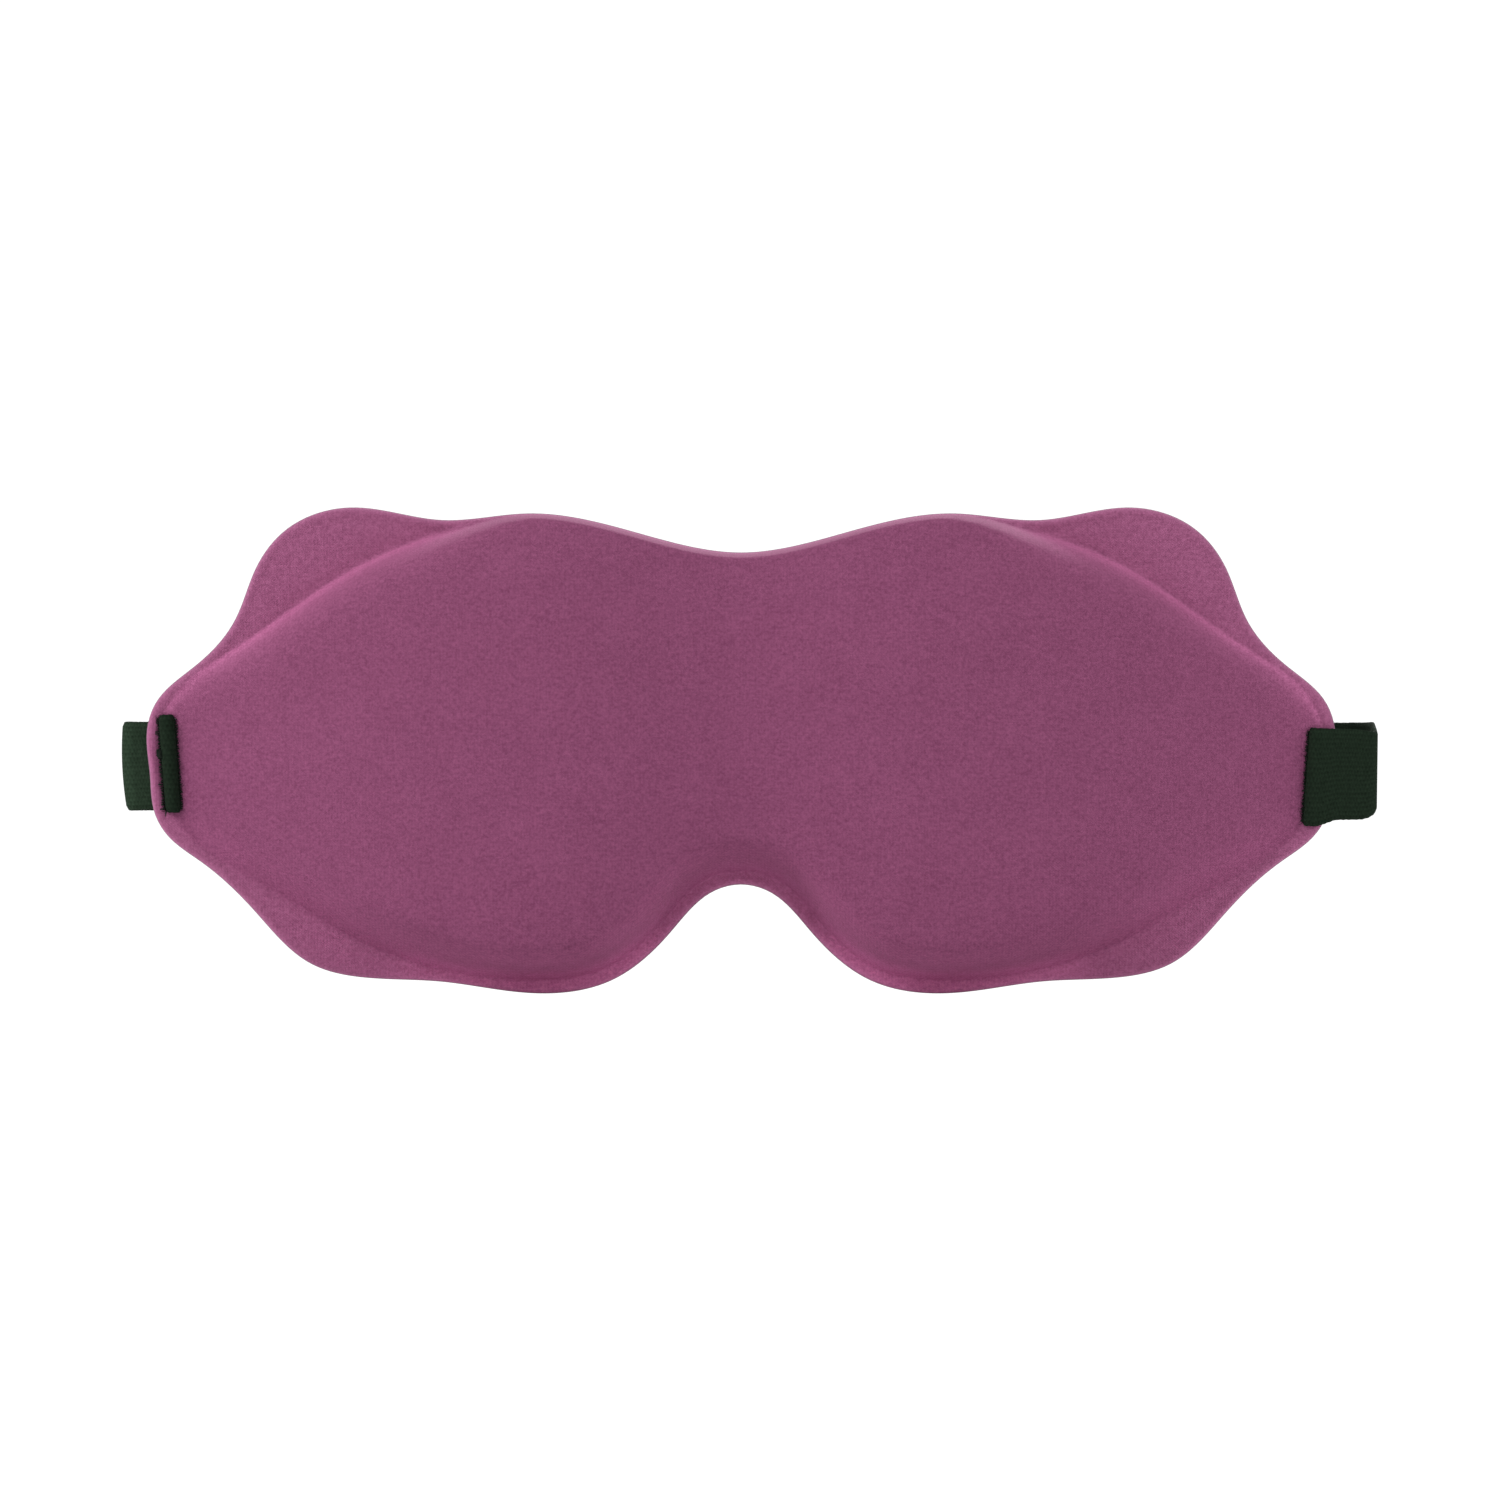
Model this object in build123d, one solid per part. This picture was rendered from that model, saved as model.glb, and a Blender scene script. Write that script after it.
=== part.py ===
from build123d import *

import os
from math import atan2, cos, degrees, hypot, pi, radians, sin, sqrt

# Contoured sleep eye mask with an adjustable elastic strap, in millimetres.
# Frame: +X to the right as seen from outside, +Z up, and the outer face looks along -Y.
# The origin lies midway between the two wings, on the flat rear rim that rests on the face.
# The mask is a moulded laminate: outer knit, foam core and inner lining, with two eye cushions.
# The strap is one length of webbing. It loops through the wings' slits and through a slider.

# ---- driving dimensions -------------------------------------------------------------------

COVER_T = 0.7  # outer knit with its bonding layer
RIM_FOAM_T = 1.3  # foam crushed in the bonded rim
LINING_T = 0.6
BOND_GAP = 0.15  # room for the adhesive film between two layers
RIM_FRONT_Y = -(LINING_T + RIM_FOAM_T + COVER_T + 2 * BOND_GAP)

EYE_X = 34.0  # eye centre, half the distance between the pupils
EYE_Z = 4.0
CROWN_AT_EYE = 21.0  # height of the pod over the rim
CROWN_AT_BRIDGE = 17.0
CROWN_END_X = 109.0  # the pod fades out here, short of the wings' slits
CROWN_POWER = 2.2
WALL_WIDTH = 13.0  # the pod's side wall rounds over within this distance
WING_WALL_WIDTH = 8.5  # and within this one along the four corner flanges
WING_WALL_X = (48.0, 66.0)  # the wall steepens between these
WALL_POWER = 2.7
FOOT_R = 0.9  # softens the crease where the wall meets the flange
RELIEF_STEP = 4.0  # spacing of the points that the pod's surface runs through
RELIEF_COUNT = (65, 29)  # points across and up, more than enough to cover the outline
RELIEF_MIDDLE_Z = 2.0
POD_SAMPLES = 260  # points on the pod's foot that distances are measured from
CUT_BACK_Y = 5.0  # behind everything moulded
CUT_FRONT_Y = -40.0  # in front of everything moulded

WELL_MOUTH = (22.0, 17.0)  # half width and half height of an eye well
WELL_FLOOR = (15.5, 11.0)
WELL_DEPTH = 14.0
CUSHION_SET_BACK = 1.0  # from the well's mouth to the cushion's foam
CUSHION_FOAM_WIDTH = 6.8
CUSHION_FOAM_HEIGHT = 6.2
CUSHION_ROUND = 2.8
CUSHION_COVER_T = 0.6

WEB_T = 1.1  # webbing thickness
WEB_W = 19.0  # three-quarter inch elastic
WEB_GAP = 0.2  # between two layers that lie together
SLIT_W = 1.6
SLIT_H = 19.6
SLIT_CUT_DEPTH = 12.0
SLIT_X = 112.8  # inner slit, both wings
OUTER_SLIT_X = 115.6  # second slit, left wing only
SLIT_SLANT = 4.0  # degrees; the slits' upper ends lean outwards
SLIT_LEFT_Z = -0.3
SLIT_RIGHT_Z = -2.5  # the right slit sits a little lower
BEND_R = 1.2  # webbing centreline where it turns round a slit's edge
EDGE_CLEAR = 0.3

LOOP_RIGHT_X = 126.65  # centreline of the webbing at its widest
LOOP_LEFT_X = 123.65
LOOP_SIDE_Y = 3.0  # the wings' ends of the loop start here
LOOP_DEPTH = 70.0
BACK_R = 190.0  # radius of the long rear run
RIGHT_DIP = 4.0  # degrees
CUT_GAP = 0.1  # between two lengths of the one webbing
DIP_GAP = 0.8  # the same where the dip tilts one of them

TAIL_JOIN_R = 16.0
TAIL_END_DEG = 5.0  # tail's end, in degrees round the rear run from the middle
HEM_DEG = 3.1
HEM_STEP = WEB_T + 0.1

SLIDER_DEG = 20.0
SLIDER_L = 15.0
SLIDER_H = 25.2
SLIDER_BAR_T = 1.8
SLIDER_OUTER_BAR_W = 2.4
SLIDER_MIDDLE_BAR_W = 3.2
SLIDER_RAIL_W = 2.5
SLIDER_CLEAR = 0.3
SLIDER_BAR_ROUND = 0.7
SLIDER_RAIL_ROUND = 0.6
SLIDER_RAIL_LIP = 0.2  # the rail's ends start this far behind the outer bars' faces
SLIDER_RAIL_BOW = 1.6  # the rail's inner flat runs on this far past the middle bar

THREAD_R = 0.18
THREAD_GAP = 0.04
SLIT_THREAD_GAP = 0.15
CUSHION_STITCHES = 40
CUSHION_STITCH_L = 3.0
CUSHION_STITCH_OUT = 0.35  # from the cushion's cover to the thread's middle
SEAM_STITCHES = 7  # in each row across the webbing
SEAM_PITCH = 2.4
SEAM_STITCH_L = 1.7
END_ROWS_X = (100.5, 103.5, 106.5)
HEM_ROWS_DEG = (0.9, 2.3)  # past the tail's end
SLIT_STITCHES = 15
SLIT_PITCH = 1.35
SLIT_STITCH_L = 1.0

# Outline of the whole mask, right half from the middle of the top edge to the nose notch: (x, z).
OUTLINE = [
    (0, 42.2),
    (22, 46.5),
    (43, 50.0),
    (60, 48.7),
    (78, 51.2),
    (91, 46.7),
    (97, 38.9),
    (101, 28.9),
    (109, 19.6),
    (117.2, 12.2),
    (118.6, 3),
    (116.8, -11.5),
    (108, -19.4),
    (97, -29.5),
    (86, -39.8),
    (74, -42.7),
    (60, -43.4),
    (42, -45.7),
    (26, -43.2),
    (14, -33.4),
    (6, -25.6),
    (0, -24.0),
]

# Foot of the raised pod, right half, in the same order. Outside it the mask is a flat flange.
POD = [
    (0, 40.2),
    (22, 44.4),
    (43, 48.0),
    (54, 47.5),
    (66, 44.8),
    (78, 39.2),
    (90.5, 31.2),
    (102.6, 22.6),
    (112, 15.2),
    (116.4, 8),
    (116.4, -5),
    (108, -16.6),
    (94, -25.6),
    (78, -35.2),
    (64, -40.4),
    (42, -43.4),
    (27, -41.0),
    (16, -32.2),
    (7.5, -23.6),
    (0, -21.6),
]


def closed_curve(half):
    """A smooth closed curve in the XZ plane through a right half and its mirror image."""
    left = [(-x, z) for x, z in half[-2:0:-1]]
    return Spline(*[(x, 0, z) for x, z in half + left], periodic=True)


def prism(half, y_back, y_front):
    """The closed curve's area, from y_front to y_back."""
    face = Face(Wire([closed_curve(half)]))
    return Pos(0, y_front, 0) * extrude(face, amount=y_back - y_front, dir=(0, 1, 0))


# ---- the moulded body -----------------------------------------------------------------------


def crown(x):
    """The pod's full height at x: highest over the eyes, lower at the bridge, nothing at the tips."""
    across = abs(x)
    if across >= CROWN_END_X:
        return 0.0
    if across <= EYE_X:
        rise = CROWN_AT_EYE - CROWN_AT_BRIDGE
        return CROWN_AT_BRIDGE + rise * sin(pi / 2 * across / EYE_X) ** 2
    share = (across - EYE_X) / (CROWN_END_X - EYE_X)
    return CROWN_AT_EYE * (1 - share**CROWN_POWER)


def wall_rise(x, inside):
    """Share of the full height that the wall has reached at a distance inside the pod's foot."""
    low, high = WING_WALL_X
    steeper = min(1.0, max(0.0, (abs(x) - low) / (high - low)))
    width = WALL_WIDTH + (WING_WALL_WIDTH - WALL_WIDTH) * steeper
    eased = inside**2 / (inside + 2 * FOOT_R) if inside > 0 else 0.0
    return 1 - (1 - min(1.0, eased / width)) ** WALL_POWER


def distance_inside(x, z, corners):
    """How far (x, z) lies inside a polygon, or 0 outside it."""
    inside = False
    nearest = 1e9
    for (ax, az), (bx, bz) in zip(corners, corners[1:] + corners[:1]):
        if (az > z) != (bz > z) and x < ax + (z - az) * (bx - ax) / (bz - az):
            inside = not inside
        dx, dz = bx - ax, bz - az
        along = ((x - ax) * dx + (z - az) * dz) / (dx * dx + dz * dz)
        along = min(1.0, max(0.0, along))
        nearest = min(nearest, hypot(x - ax - along * dx, z - az - along * dz))
    return nearest if inside else 0.0


def blurred(grid):
    """Each height averaged with its neighbours, because foam can't fold sharply."""
    rows, columns = len(grid), len(grid[0])
    out = [row[:] for row in grid]
    for i in range(1, rows - 1):
        for j in range(1, columns - 1):
            beside = grid[i - 1][j] + grid[i + 1][j] + grid[i][j - 1] + grid[i][j + 1]
            out[i][j] = 0.5 * grid[i][j] + 0.125 * beside
    return out


def relief():
    """Points of the outer face on a grid wider than the mask, as rows of (x, y, z)."""
    curve = closed_curve(POD)
    samples = [curve @ (i / POD_SAMPLES) for i in range(POD_SAMPLES)]
    corners = [(p.X, p.Z) for p in samples]
    across, up = RELIEF_COUNT
    xs = [RELIEF_STEP * (i - (across - 1) / 2) for i in range(across)]
    zs = [RELIEF_STEP * (j - (up - 1) / 2) + RELIEF_MIDDLE_Z for j in range(up)]
    heights = []
    for x in xs:
        row = []
        for z in zs:
            row.append(crown(x) * wall_rise(x, distance_inside(x, z, corners)))
        heights.append(row)
    heights = blurred(heights)
    return [[(x, RIM_FRONT_Y - h, z) for z, h in zip(zs, row)] for x, row in zip(xs, heights)]


def ellipse_prism(half_size, y_back, y_front, side):
    """An upright elliptical plug through an eye's centre."""
    area = Plane(origin=(side * EYE_X, y_back, EYE_Z), x_dir=(1, 0, 0), z_dir=(0, -1, 0))
    return extrude(area * Ellipse(*half_size), amount=y_back - y_front)


def well(grow, side):
    """An eye well as a solid plug, grown outwards by grow. It opens backwards."""
    mouth = Plane(origin=(side * EYE_X, 0, EYE_Z), x_dir=(1, 0, 0), z_dir=(0, -1, 0))
    depth = WELL_DEPTH + grow
    floor = mouth.offset(depth)
    top = mouth * Ellipse(WELL_MOUTH[0] + grow, WELL_MOUTH[1] + grow)
    bottom = floor * Ellipse(WELL_FLOOR[0] + grow, WELL_FLOOR[1] + grow)
    return loft([top, bottom])


def slanted(solid, side):
    """Leans what was built upright at a wing, and lifts it, to match that wing's slits."""
    x = side * SLIT_X
    z = SLIT_RIGHT_Z if side > 0 else SLIT_LEFT_Z
    return Pos(x, 0, z) * Rot(0, side * SLIT_SLANT, 0) * Pos(-x, 0, 0) * solid


def slits():
    """Cutters for the strap slits, through the whole laminate."""
    cutter = Box(SLIT_W, SLIT_CUT_DEPTH, SLIT_H)
    right = slanted(Pos(SLIT_X, 0, 0) * cutter, 1)
    left = slanted(Pos(-SLIT_X, 0, 0) * cutter, -1)
    outer_left = slanted(Pos(-OUTER_SLIT_X, 0, 0) * cutter, -1)
    return right + left + outer_left


def moulded_body():
    """Outer knit, foam core and inner lining."""
    skin = Face.make_surface_from_array_of_points(relief(), tol=0.02)
    outline = prism(OUTLINE, CUT_BACK_Y, CUT_FRONT_Y)
    cutters = slits()
    cover = extrude(skin, amount=COVER_T, dir=(0, 1, 0)) & outline
    foam_front = Pos(0, COVER_T + BOND_GAP, 0) * skin
    foam = extrude(foam_front, amount=-CUT_FRONT_Y, dir=(0, 1, 0))
    foam &= prism(OUTLINE, -LINING_T - BOND_GAP, CUT_FRONT_Y)
    lining = prism(OUTLINE, 0, -LINING_T)
    for side in (-1, 1):
        foam -= well(LINING_T + BOND_GAP, side)
        lining += well(LINING_T, side)
        lining -= well(0, side)
    return cover - cutters, foam - cutters, lining - cutters


def cushion(side):
    """The foam ring round one eye well and the fabric that wraps it, open towards the lining."""
    base = BOND_GAP
    inner = (WELL_MOUTH[0] + CUSHION_SET_BACK, WELL_MOUTH[1] + CUSHION_SET_BACK)
    outer = (inner[0] + CUSHION_FOAM_WIDTH, inner[1] + CUSHION_FOAM_WIDTH)

    def ring(grow, height, rounding):
        body = ellipse_prism((outer[0] + grow, outer[1] + grow), height, base, side)
        body -= ellipse_prism((inner[0] - grow, inner[1] - grow), height, base, side)
        crest = body.faces().sort_by(Axis.Y)[-1]
        return fillet(crest.edges(), rounding)

    foam = ring(0, base + CUSHION_FOAM_HEIGHT, CUSHION_ROUND)
    room = ring(BOND_GAP, base + CUSHION_FOAM_HEIGHT + BOND_GAP, CUSHION_ROUND + BOND_GAP)
    grow = BOND_GAP + CUSHION_COVER_T
    cover = ring(grow, base + CUSHION_FOAM_HEIGHT + grow, CUSHION_ROUND + grow) - room
    return foam, cover


# ---- the strap --------------------------------------------------------------------------------


def band(path):
    """Webbing along a list of lines and arcs in the XY plane, centred on z = 0."""
    wire = Wire(path)
    start = Plane(origin=wire @ 0, x_dir=(0, 0, 1), z_dir=wire % 0)
    return sweep(start * Rectangle(WEB_W, WEB_T), path=wire)


def arc(centre, radius, from_deg, to_deg):
    """A circular arc in the XY plane between two directions from its centre."""
    return CenterArc((centre[0], centre[1], 0), radius, from_deg, to_deg - from_deg)


def line(a, b):
    return Line((a[0], a[1], 0), (b[0], b[1], 0))


REAR_CENTRE = (0.0, LOOP_SIDE_Y + LOOP_DEPTH - BACK_R)


def corner(half_width):
    """The corner arc that joins a side of the loop to the rear run: its centre x, radius and the
    direction of the join, in degrees from +X."""
    spare = 2 * BACK_R * LOOP_DEPTH - half_width**2 - LOOP_DEPTH**2
    radius = spare / (2 * (BACK_R - half_width))
    centre_x = half_width - radius
    join = degrees(atan2(BACK_R - LOOP_DEPTH, centre_x))
    return centre_x, radius, join


RIGHT_X, RIGHT_R, RIGHT_JOIN = corner(LOOP_RIGHT_X)
LEFT_X, LEFT_R, LEFT_JOIN = corner(LOOP_LEFT_X)
TAIL_OFFSET = WEB_T + WEB_GAP  # the tail lies this far inside the main run
LAP_Y = WEB_T / 2 + EDGE_CLEAR  # webbing that lies on the lining
FRONT_LAP_Y = RIM_FRONT_Y - WEB_T / 2 - EDGE_CLEAR  # webbing that lies on the outer face
IN_SLIT_Y = LAP_Y - BEND_R
OUT_SLIT_Y = FRONT_LAP_Y + BEND_R


def right_anchor():
    """The sewn end: a lap on the lining, out through the slit and over the front to the turn."""
    lap_length = 13.0
    turn_r = 3.0
    slit_x = SLIT_X
    inner = (slit_x - BEND_R, IN_SLIT_Y)
    front = (slit_x + BEND_R, OUT_SLIT_Y)
    turn = (LOOP_RIGHT_X - turn_r, FRONT_LAP_Y + turn_r)
    path = [
        line((inner[0] - lap_length, LAP_Y), (inner[0], LAP_Y)),
        arc(inner, BEND_R, 90, 0),
        line((slit_x, IN_SLIT_Y), (slit_x, OUT_SLIT_Y)),
        arc(front, BEND_R, 180, 270),
        line((front[0], FRONT_LAP_Y), (turn[0], FRONT_LAP_Y)),
        arc(turn, turn_r, -90, 0),
        line((LOOP_RIGHT_X, turn[1]), (LOOP_RIGHT_X, LOOP_SIDE_Y - CUT_GAP)),
    ]
    return slanted(band(path), 1)


def left_anchor():
    """The adjustable end: behind the wing's edge, out of one slit and back through the next."""
    turn_r = 2.0
    turn = (-LOOP_LEFT_X + turn_r, LAP_Y + turn_r)
    outer = (-OUTER_SLIT_X - BEND_R, IN_SLIT_Y)
    first = (-OUTER_SLIT_X + BEND_R, OUT_SLIT_Y)
    second = (-SLIT_X - BEND_R, OUT_SLIT_Y)
    path = [
        line((-LOOP_LEFT_X, LOOP_SIDE_Y - CUT_GAP), (-LOOP_LEFT_X, turn[1])),
        arc(turn, turn_r, 180, 270),
        line((turn[0], LAP_Y), (outer[0], LAP_Y)),
        arc(outer, BEND_R, 90, 0),
        line((-OUTER_SLIT_X, IN_SLIT_Y), (-OUTER_SLIT_X, OUT_SLIT_Y)),
        arc(first, BEND_R, 180, 270),
        line((first[0], FRONT_LAP_Y), (second[0], FRONT_LAP_Y)),
        arc(second, BEND_R, -90, 0),
        line((-SLIT_X, OUT_SLIT_Y), (-SLIT_X, LOOP_SIDE_Y - CUT_GAP)),
    ]
    return slanted(band(path), -1)


def degrees_for(length, radius):
    return degrees(length / radius)


def right_side():
    """The corner from the right wing to the rear run. It dips towards the lower right slit."""
    cut = degrees_for(DIP_GAP, RIGHT_R)
    corner_arc = arc((RIGHT_X, LOOP_SIDE_Y), RIGHT_R, cut, RIGHT_JOIN - cut)
    start, join = corner_arc @ 0, corner_arc @ 1
    across = Axis(join, (join.Y - start.Y, start.X - join.X, 0))
    return band([corner_arc]).rotate(across, RIGHT_DIP)


def left_side():
    """The main run's left side and, inside it, the tail on its way from the inner slit."""
    cut = degrees_for(CUT_GAP, LEFT_R)
    centre = (-LEFT_X, LOOP_SIDE_Y)
    main = band([arc(centre, LEFT_R, 180, 180 - LEFT_JOIN + cut)])
    tail_r = LEFT_R - TAIL_OFFSET
    across = -SLIT_X + TAIL_JOIN_R + LEFT_X
    rise = sqrt((tail_r - TAIL_JOIN_R) ** 2 - across**2)
    join = (-SLIT_X + TAIL_JOIN_R, LOOP_SIDE_Y + rise)
    meet = degrees(atan2(rise, across))
    path = [
        line((-SLIT_X, LOOP_SIDE_Y), (-SLIT_X, join[1])),
        arc(join, TAIL_JOIN_R, 180, meet),
        arc(centre, tail_r, meet, 180 - LEFT_JOIN + cut),
    ]
    return main, band(path)


def rear_run():
    cut = degrees_for(CUT_GAP, BACK_R)
    return band([arc(REAR_CENTRE, BACK_R, RIGHT_JOIN + cut, 180 - LEFT_JOIN - cut)])


def tail():
    """The free tail on the inside of the rear run, with its end folded under as a hem."""
    radius = BACK_R - TAIL_OFFSET
    cut = degrees_for(CUT_GAP, radius)
    end = 90 + TAIL_END_DEG
    fold_r = HEM_STEP / 2
    middle = radius - fold_r
    fold = (
        REAR_CENTRE[0] + middle * cos(radians(end)),
        REAR_CENTRE[1] + middle * sin(radians(end)),
    )
    path = [
        arc(REAR_CENTRE, radius, 180 - LEFT_JOIN - cut, end),
        arc(fold, fold_r, end, end - 180),
        arc(REAR_CENTRE, radius - HEM_STEP, end, end + HEM_DEG),
    ]
    return band(path)


def slider_bar(width):
    """One upright bar with rounded long edges."""
    bar = Box(width, SLIDER_BAR_T, SLIDER_H)
    return fillet(bar.edges().filter_by(Axis.Z), SLIDER_BAR_ROUND)


def slider():
    """A tri-glide: two outer bars behind the webbing and a middle bar on its inner side."""
    outer_face = BACK_R + WEB_T / 2 + SLIDER_CLEAR
    inner_face = BACK_R - TAIL_OFFSET - WEB_T / 2 - SLIDER_CLEAR
    bar_x = (SLIDER_L - SLIDER_OUTER_BAR_W) / 2
    body = Pos(0, inner_face - SLIDER_BAR_T / 2, 0) * slider_bar(SLIDER_MIDDLE_BAR_W)
    for x in (-bar_x, bar_x):
        body += Pos(x, outer_face + SLIDER_BAR_T / 2, 0) * slider_bar(SLIDER_OUTER_BAR_W)
    bow = SLIDER_MIDDLE_BAR_W / 2 + SLIDER_RAIL_BOW
    profile = Polyline(
        (-SLIDER_L / 2, outer_face + SLIDER_RAIL_LIP),
        (-SLIDER_L / 2, outer_face + SLIDER_BAR_T),
        (SLIDER_L / 2, outer_face + SLIDER_BAR_T),
        (SLIDER_L / 2, outer_face + SLIDER_RAIL_LIP),
        (bow, inner_face - SLIDER_BAR_T),
        (-bow, inner_face - SLIDER_BAR_T),
        (-SLIDER_L / 2, outer_face + SLIDER_RAIL_LIP),
    )
    rail = extrude(fillet(make_face(profile).vertices(), SLIDER_RAIL_ROUND), amount=SLIDER_RAIL_W)
    for z in (SLIDER_H / 2 - SLIDER_RAIL_W, -SLIDER_H / 2):
        body += Pos(0, 0, z) * rail
    return Pos(*REAR_CENTRE, 0) * Rot(0, 0, SLIDER_DEG) * body


# ---- stitching ----------------------------------------------------------------------------------


def thread(centre, direction, length):
    """One visible stitch: a short straight thread."""
    return Plane(origin=centre, z_dir=direction) * Cylinder(THREAD_R, length)


def group(solids):
    return Compound(children=list(solids))


def cushion_stitching(side):
    """Running stitch round a cushion's outer edge, on the lining."""
    cover = CUSHION_SET_BACK + CUSHION_FOAM_WIDTH + BOND_GAP + CUSHION_COVER_T
    a = WELL_MOUTH[0] + cover + CUSHION_STITCH_OUT
    b = WELL_MOUTH[1] + cover + CUSHION_STITCH_OUT
    stitches = []
    for i in range(CUSHION_STITCHES):
        turn = 2 * pi * i / CUSHION_STITCHES
        centre = (side * EYE_X + a * cos(turn), THREAD_R + THREAD_GAP, EYE_Z + b * sin(turn))
        stitches.append(thread(centre, (-a * sin(turn), 0, b * cos(turn)), CUSHION_STITCH_L))
    return group(stitches)


def seam_row(x, y):
    """One upright row of stitches across the webbing at (x, y)."""
    heights = [SEAM_PITCH * (i - (SEAM_STITCHES - 1) / 2) for i in range(SEAM_STITCHES)]
    return [thread((x, y, z), (0, 0, 1), SEAM_STITCH_L) for z in heights]


def end_stitching():
    """Three rows of stitches that hold the webbing's sewn end to the lining."""
    y = LAP_Y + WEB_T / 2 + THREAD_R + THREAD_GAP
    stitches = []
    for x in END_ROWS_X:
        stitches += seam_row(x, y)
    return slanted(group(stitches), 1)


def hem_stitching():
    """Two rows of stitches across the tail's hem."""
    radius = BACK_R - TAIL_OFFSET - HEM_STEP - WEB_T / 2 - THREAD_R - THREAD_GAP
    stitches = []
    for turn in HEM_ROWS_DEG:
        at = radians(90 + TAIL_END_DEG + turn)
        stitches += seam_row(REAR_CENTRE[0] + radius * cos(at), REAR_CENTRE[1] + radius * sin(at))
    return group(stitches)


def slit_stitching(edge_x, side, away):
    """Short overcast stitches along one edge of a slit, on the outer face."""
    x = side * edge_x + away * SLIT_STITCH_L / 2
    y = RIM_FRONT_Y - THREAD_R - SLIT_THREAD_GAP
    heights = [SLIT_PITCH * (i - (SLIT_STITCHES - 1) / 2) for i in range(SLIT_STITCHES)]
    return slanted(group([thread((x, y, z), (1, 0, 0), SLIT_STITCH_L) for z in heights]), side)


# ---- write every node -----------------------------------------------------------------------------


def main():
    os.makedirs("parts", exist_ok=True)
    cover, foam, lining = moulded_body()
    nodes = {"front_cover": cover, "foam_core": foam, "inner_lining": lining}
    for side, word in ((-1, "left"), (1, "right")):
        ring, wrap = cushion(side)
        nodes[f"{word}_cushion_foam"] = ring
        nodes[f"{word}_cushion_cover"] = wrap
        nodes[f"{word}_cushion_stitching"] = cushion_stitching(side)
    main_side, tail_side = left_side()
    nodes["strap_left_anchor"] = left_anchor()
    nodes["strap_left_side"] = group([main_side, tail_side])
    nodes["strap_rear_run"] = rear_run()
    nodes["strap_tail"] = tail()
    nodes["strap_right_side"] = right_side()
    nodes["strap_right_anchor"] = right_anchor()
    nodes["strap_slider"] = slider()
    nodes["strap_end_stitching"] = end_stitching()
    nodes["tail_hem_stitching"] = hem_stitching()
    inner_edge = SLIT_X - SLIT_W / 2
    outer_edge = OUTER_SLIT_X + SLIT_W / 2
    nodes["left_slit_stitching"] = group(
        [slit_stitching(inner_edge, -1, 1), slit_stitching(outer_edge, -1, -1)]
    )
    nodes["right_slit_stitching"] = slit_stitching(inner_edge, 1, -1)
    for name, shape in nodes.items():
        export_step(shape, f"parts/{name}.step")


main()
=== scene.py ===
"""Sleep eye mask: the shown pieces, their materials, the light and the camera.

Lengths are in millimetres until a mesh is made. +X is right as seen from outside, +Z is up, and the
outer face looks along -Y.
"""

import math
import random

import bmesh
import bpy
import numpy as np
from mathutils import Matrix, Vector
from mathutils.geometry import delaunay_2d_cdt


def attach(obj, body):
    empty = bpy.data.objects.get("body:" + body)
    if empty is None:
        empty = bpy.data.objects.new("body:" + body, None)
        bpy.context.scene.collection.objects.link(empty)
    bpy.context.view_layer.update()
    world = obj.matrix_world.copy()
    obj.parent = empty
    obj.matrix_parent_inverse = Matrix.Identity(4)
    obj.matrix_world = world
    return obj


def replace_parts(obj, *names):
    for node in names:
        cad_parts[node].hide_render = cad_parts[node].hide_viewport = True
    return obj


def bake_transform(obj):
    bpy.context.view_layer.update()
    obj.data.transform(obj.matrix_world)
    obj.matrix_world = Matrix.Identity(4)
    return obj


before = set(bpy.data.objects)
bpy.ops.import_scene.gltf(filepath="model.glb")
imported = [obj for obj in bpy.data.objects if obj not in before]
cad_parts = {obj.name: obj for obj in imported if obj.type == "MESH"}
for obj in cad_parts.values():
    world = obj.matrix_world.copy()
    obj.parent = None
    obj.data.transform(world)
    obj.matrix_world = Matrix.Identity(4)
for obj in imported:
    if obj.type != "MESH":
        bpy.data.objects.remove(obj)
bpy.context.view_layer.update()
random.seed(7)

MM = 0.001
RIM_Y = -2.9  # front of the flat rim
LINING_Y = -0.6
EYE_X, EYE_Z = 34.0, 4.0  # middle of an eye well
WELL_MOUTH, WELL_FLOOR = (22.0, 17.0), (15.5, 11.0)  # half width and half height
WELL_DEPTH = 14.0
SLIT_X = 112.8  # the slits lean about this line
RIGHT_SLIT, LEFT_SLIT, OUTER_SLIT = 113.4, 113.1, 115.2
SLIT_W, SLIT_H, SLIT_SLANT = 1.25, 18.8, math.radians(4)
SLIT_Z = {1: -2.5, -1: 0.1}  # height of a slit's middle, by side

# Right halves of the mask's outline and of the pod's foot, as (x, z).
OUTLINE = [
    (0, 42.2), (22, 46.5), (43, 50.0), (60, 48.7), (78, 51.2), (91, 46.7), (97, 38.9), (101, 28.9),
    (109, 19.6), (116.9, 12.2), (118.7, 6.5), (118.1, -2), (117.2, -9.6), (114.6, -14.2), (108, -19.4),
    (97, -29.5), (86, -39.8), (74, -42.7), (60, -43.4), (42, -45.7), (26, -43.2), (14, -33.4),
    (6, -25.6), (0, -24.0),
]
POD = [
    (0, 42.2), (22, 46.5), (43, 49.9), (54, 48.0), (66, 44.3), (78, 38.9), (90.5, 30.7), (102.6, 22.4),
    (112, 15.6), (116.4, 8), (116.4, -5), (108, -16.6), (94, -25.2), (78, -34.8), (64, -40.2), (42, -43.4),
    (27, -41.0), (16, -32.2), (7.5, -23.6), (0, -21.6),
]


# ---- curves and distances ----


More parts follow.
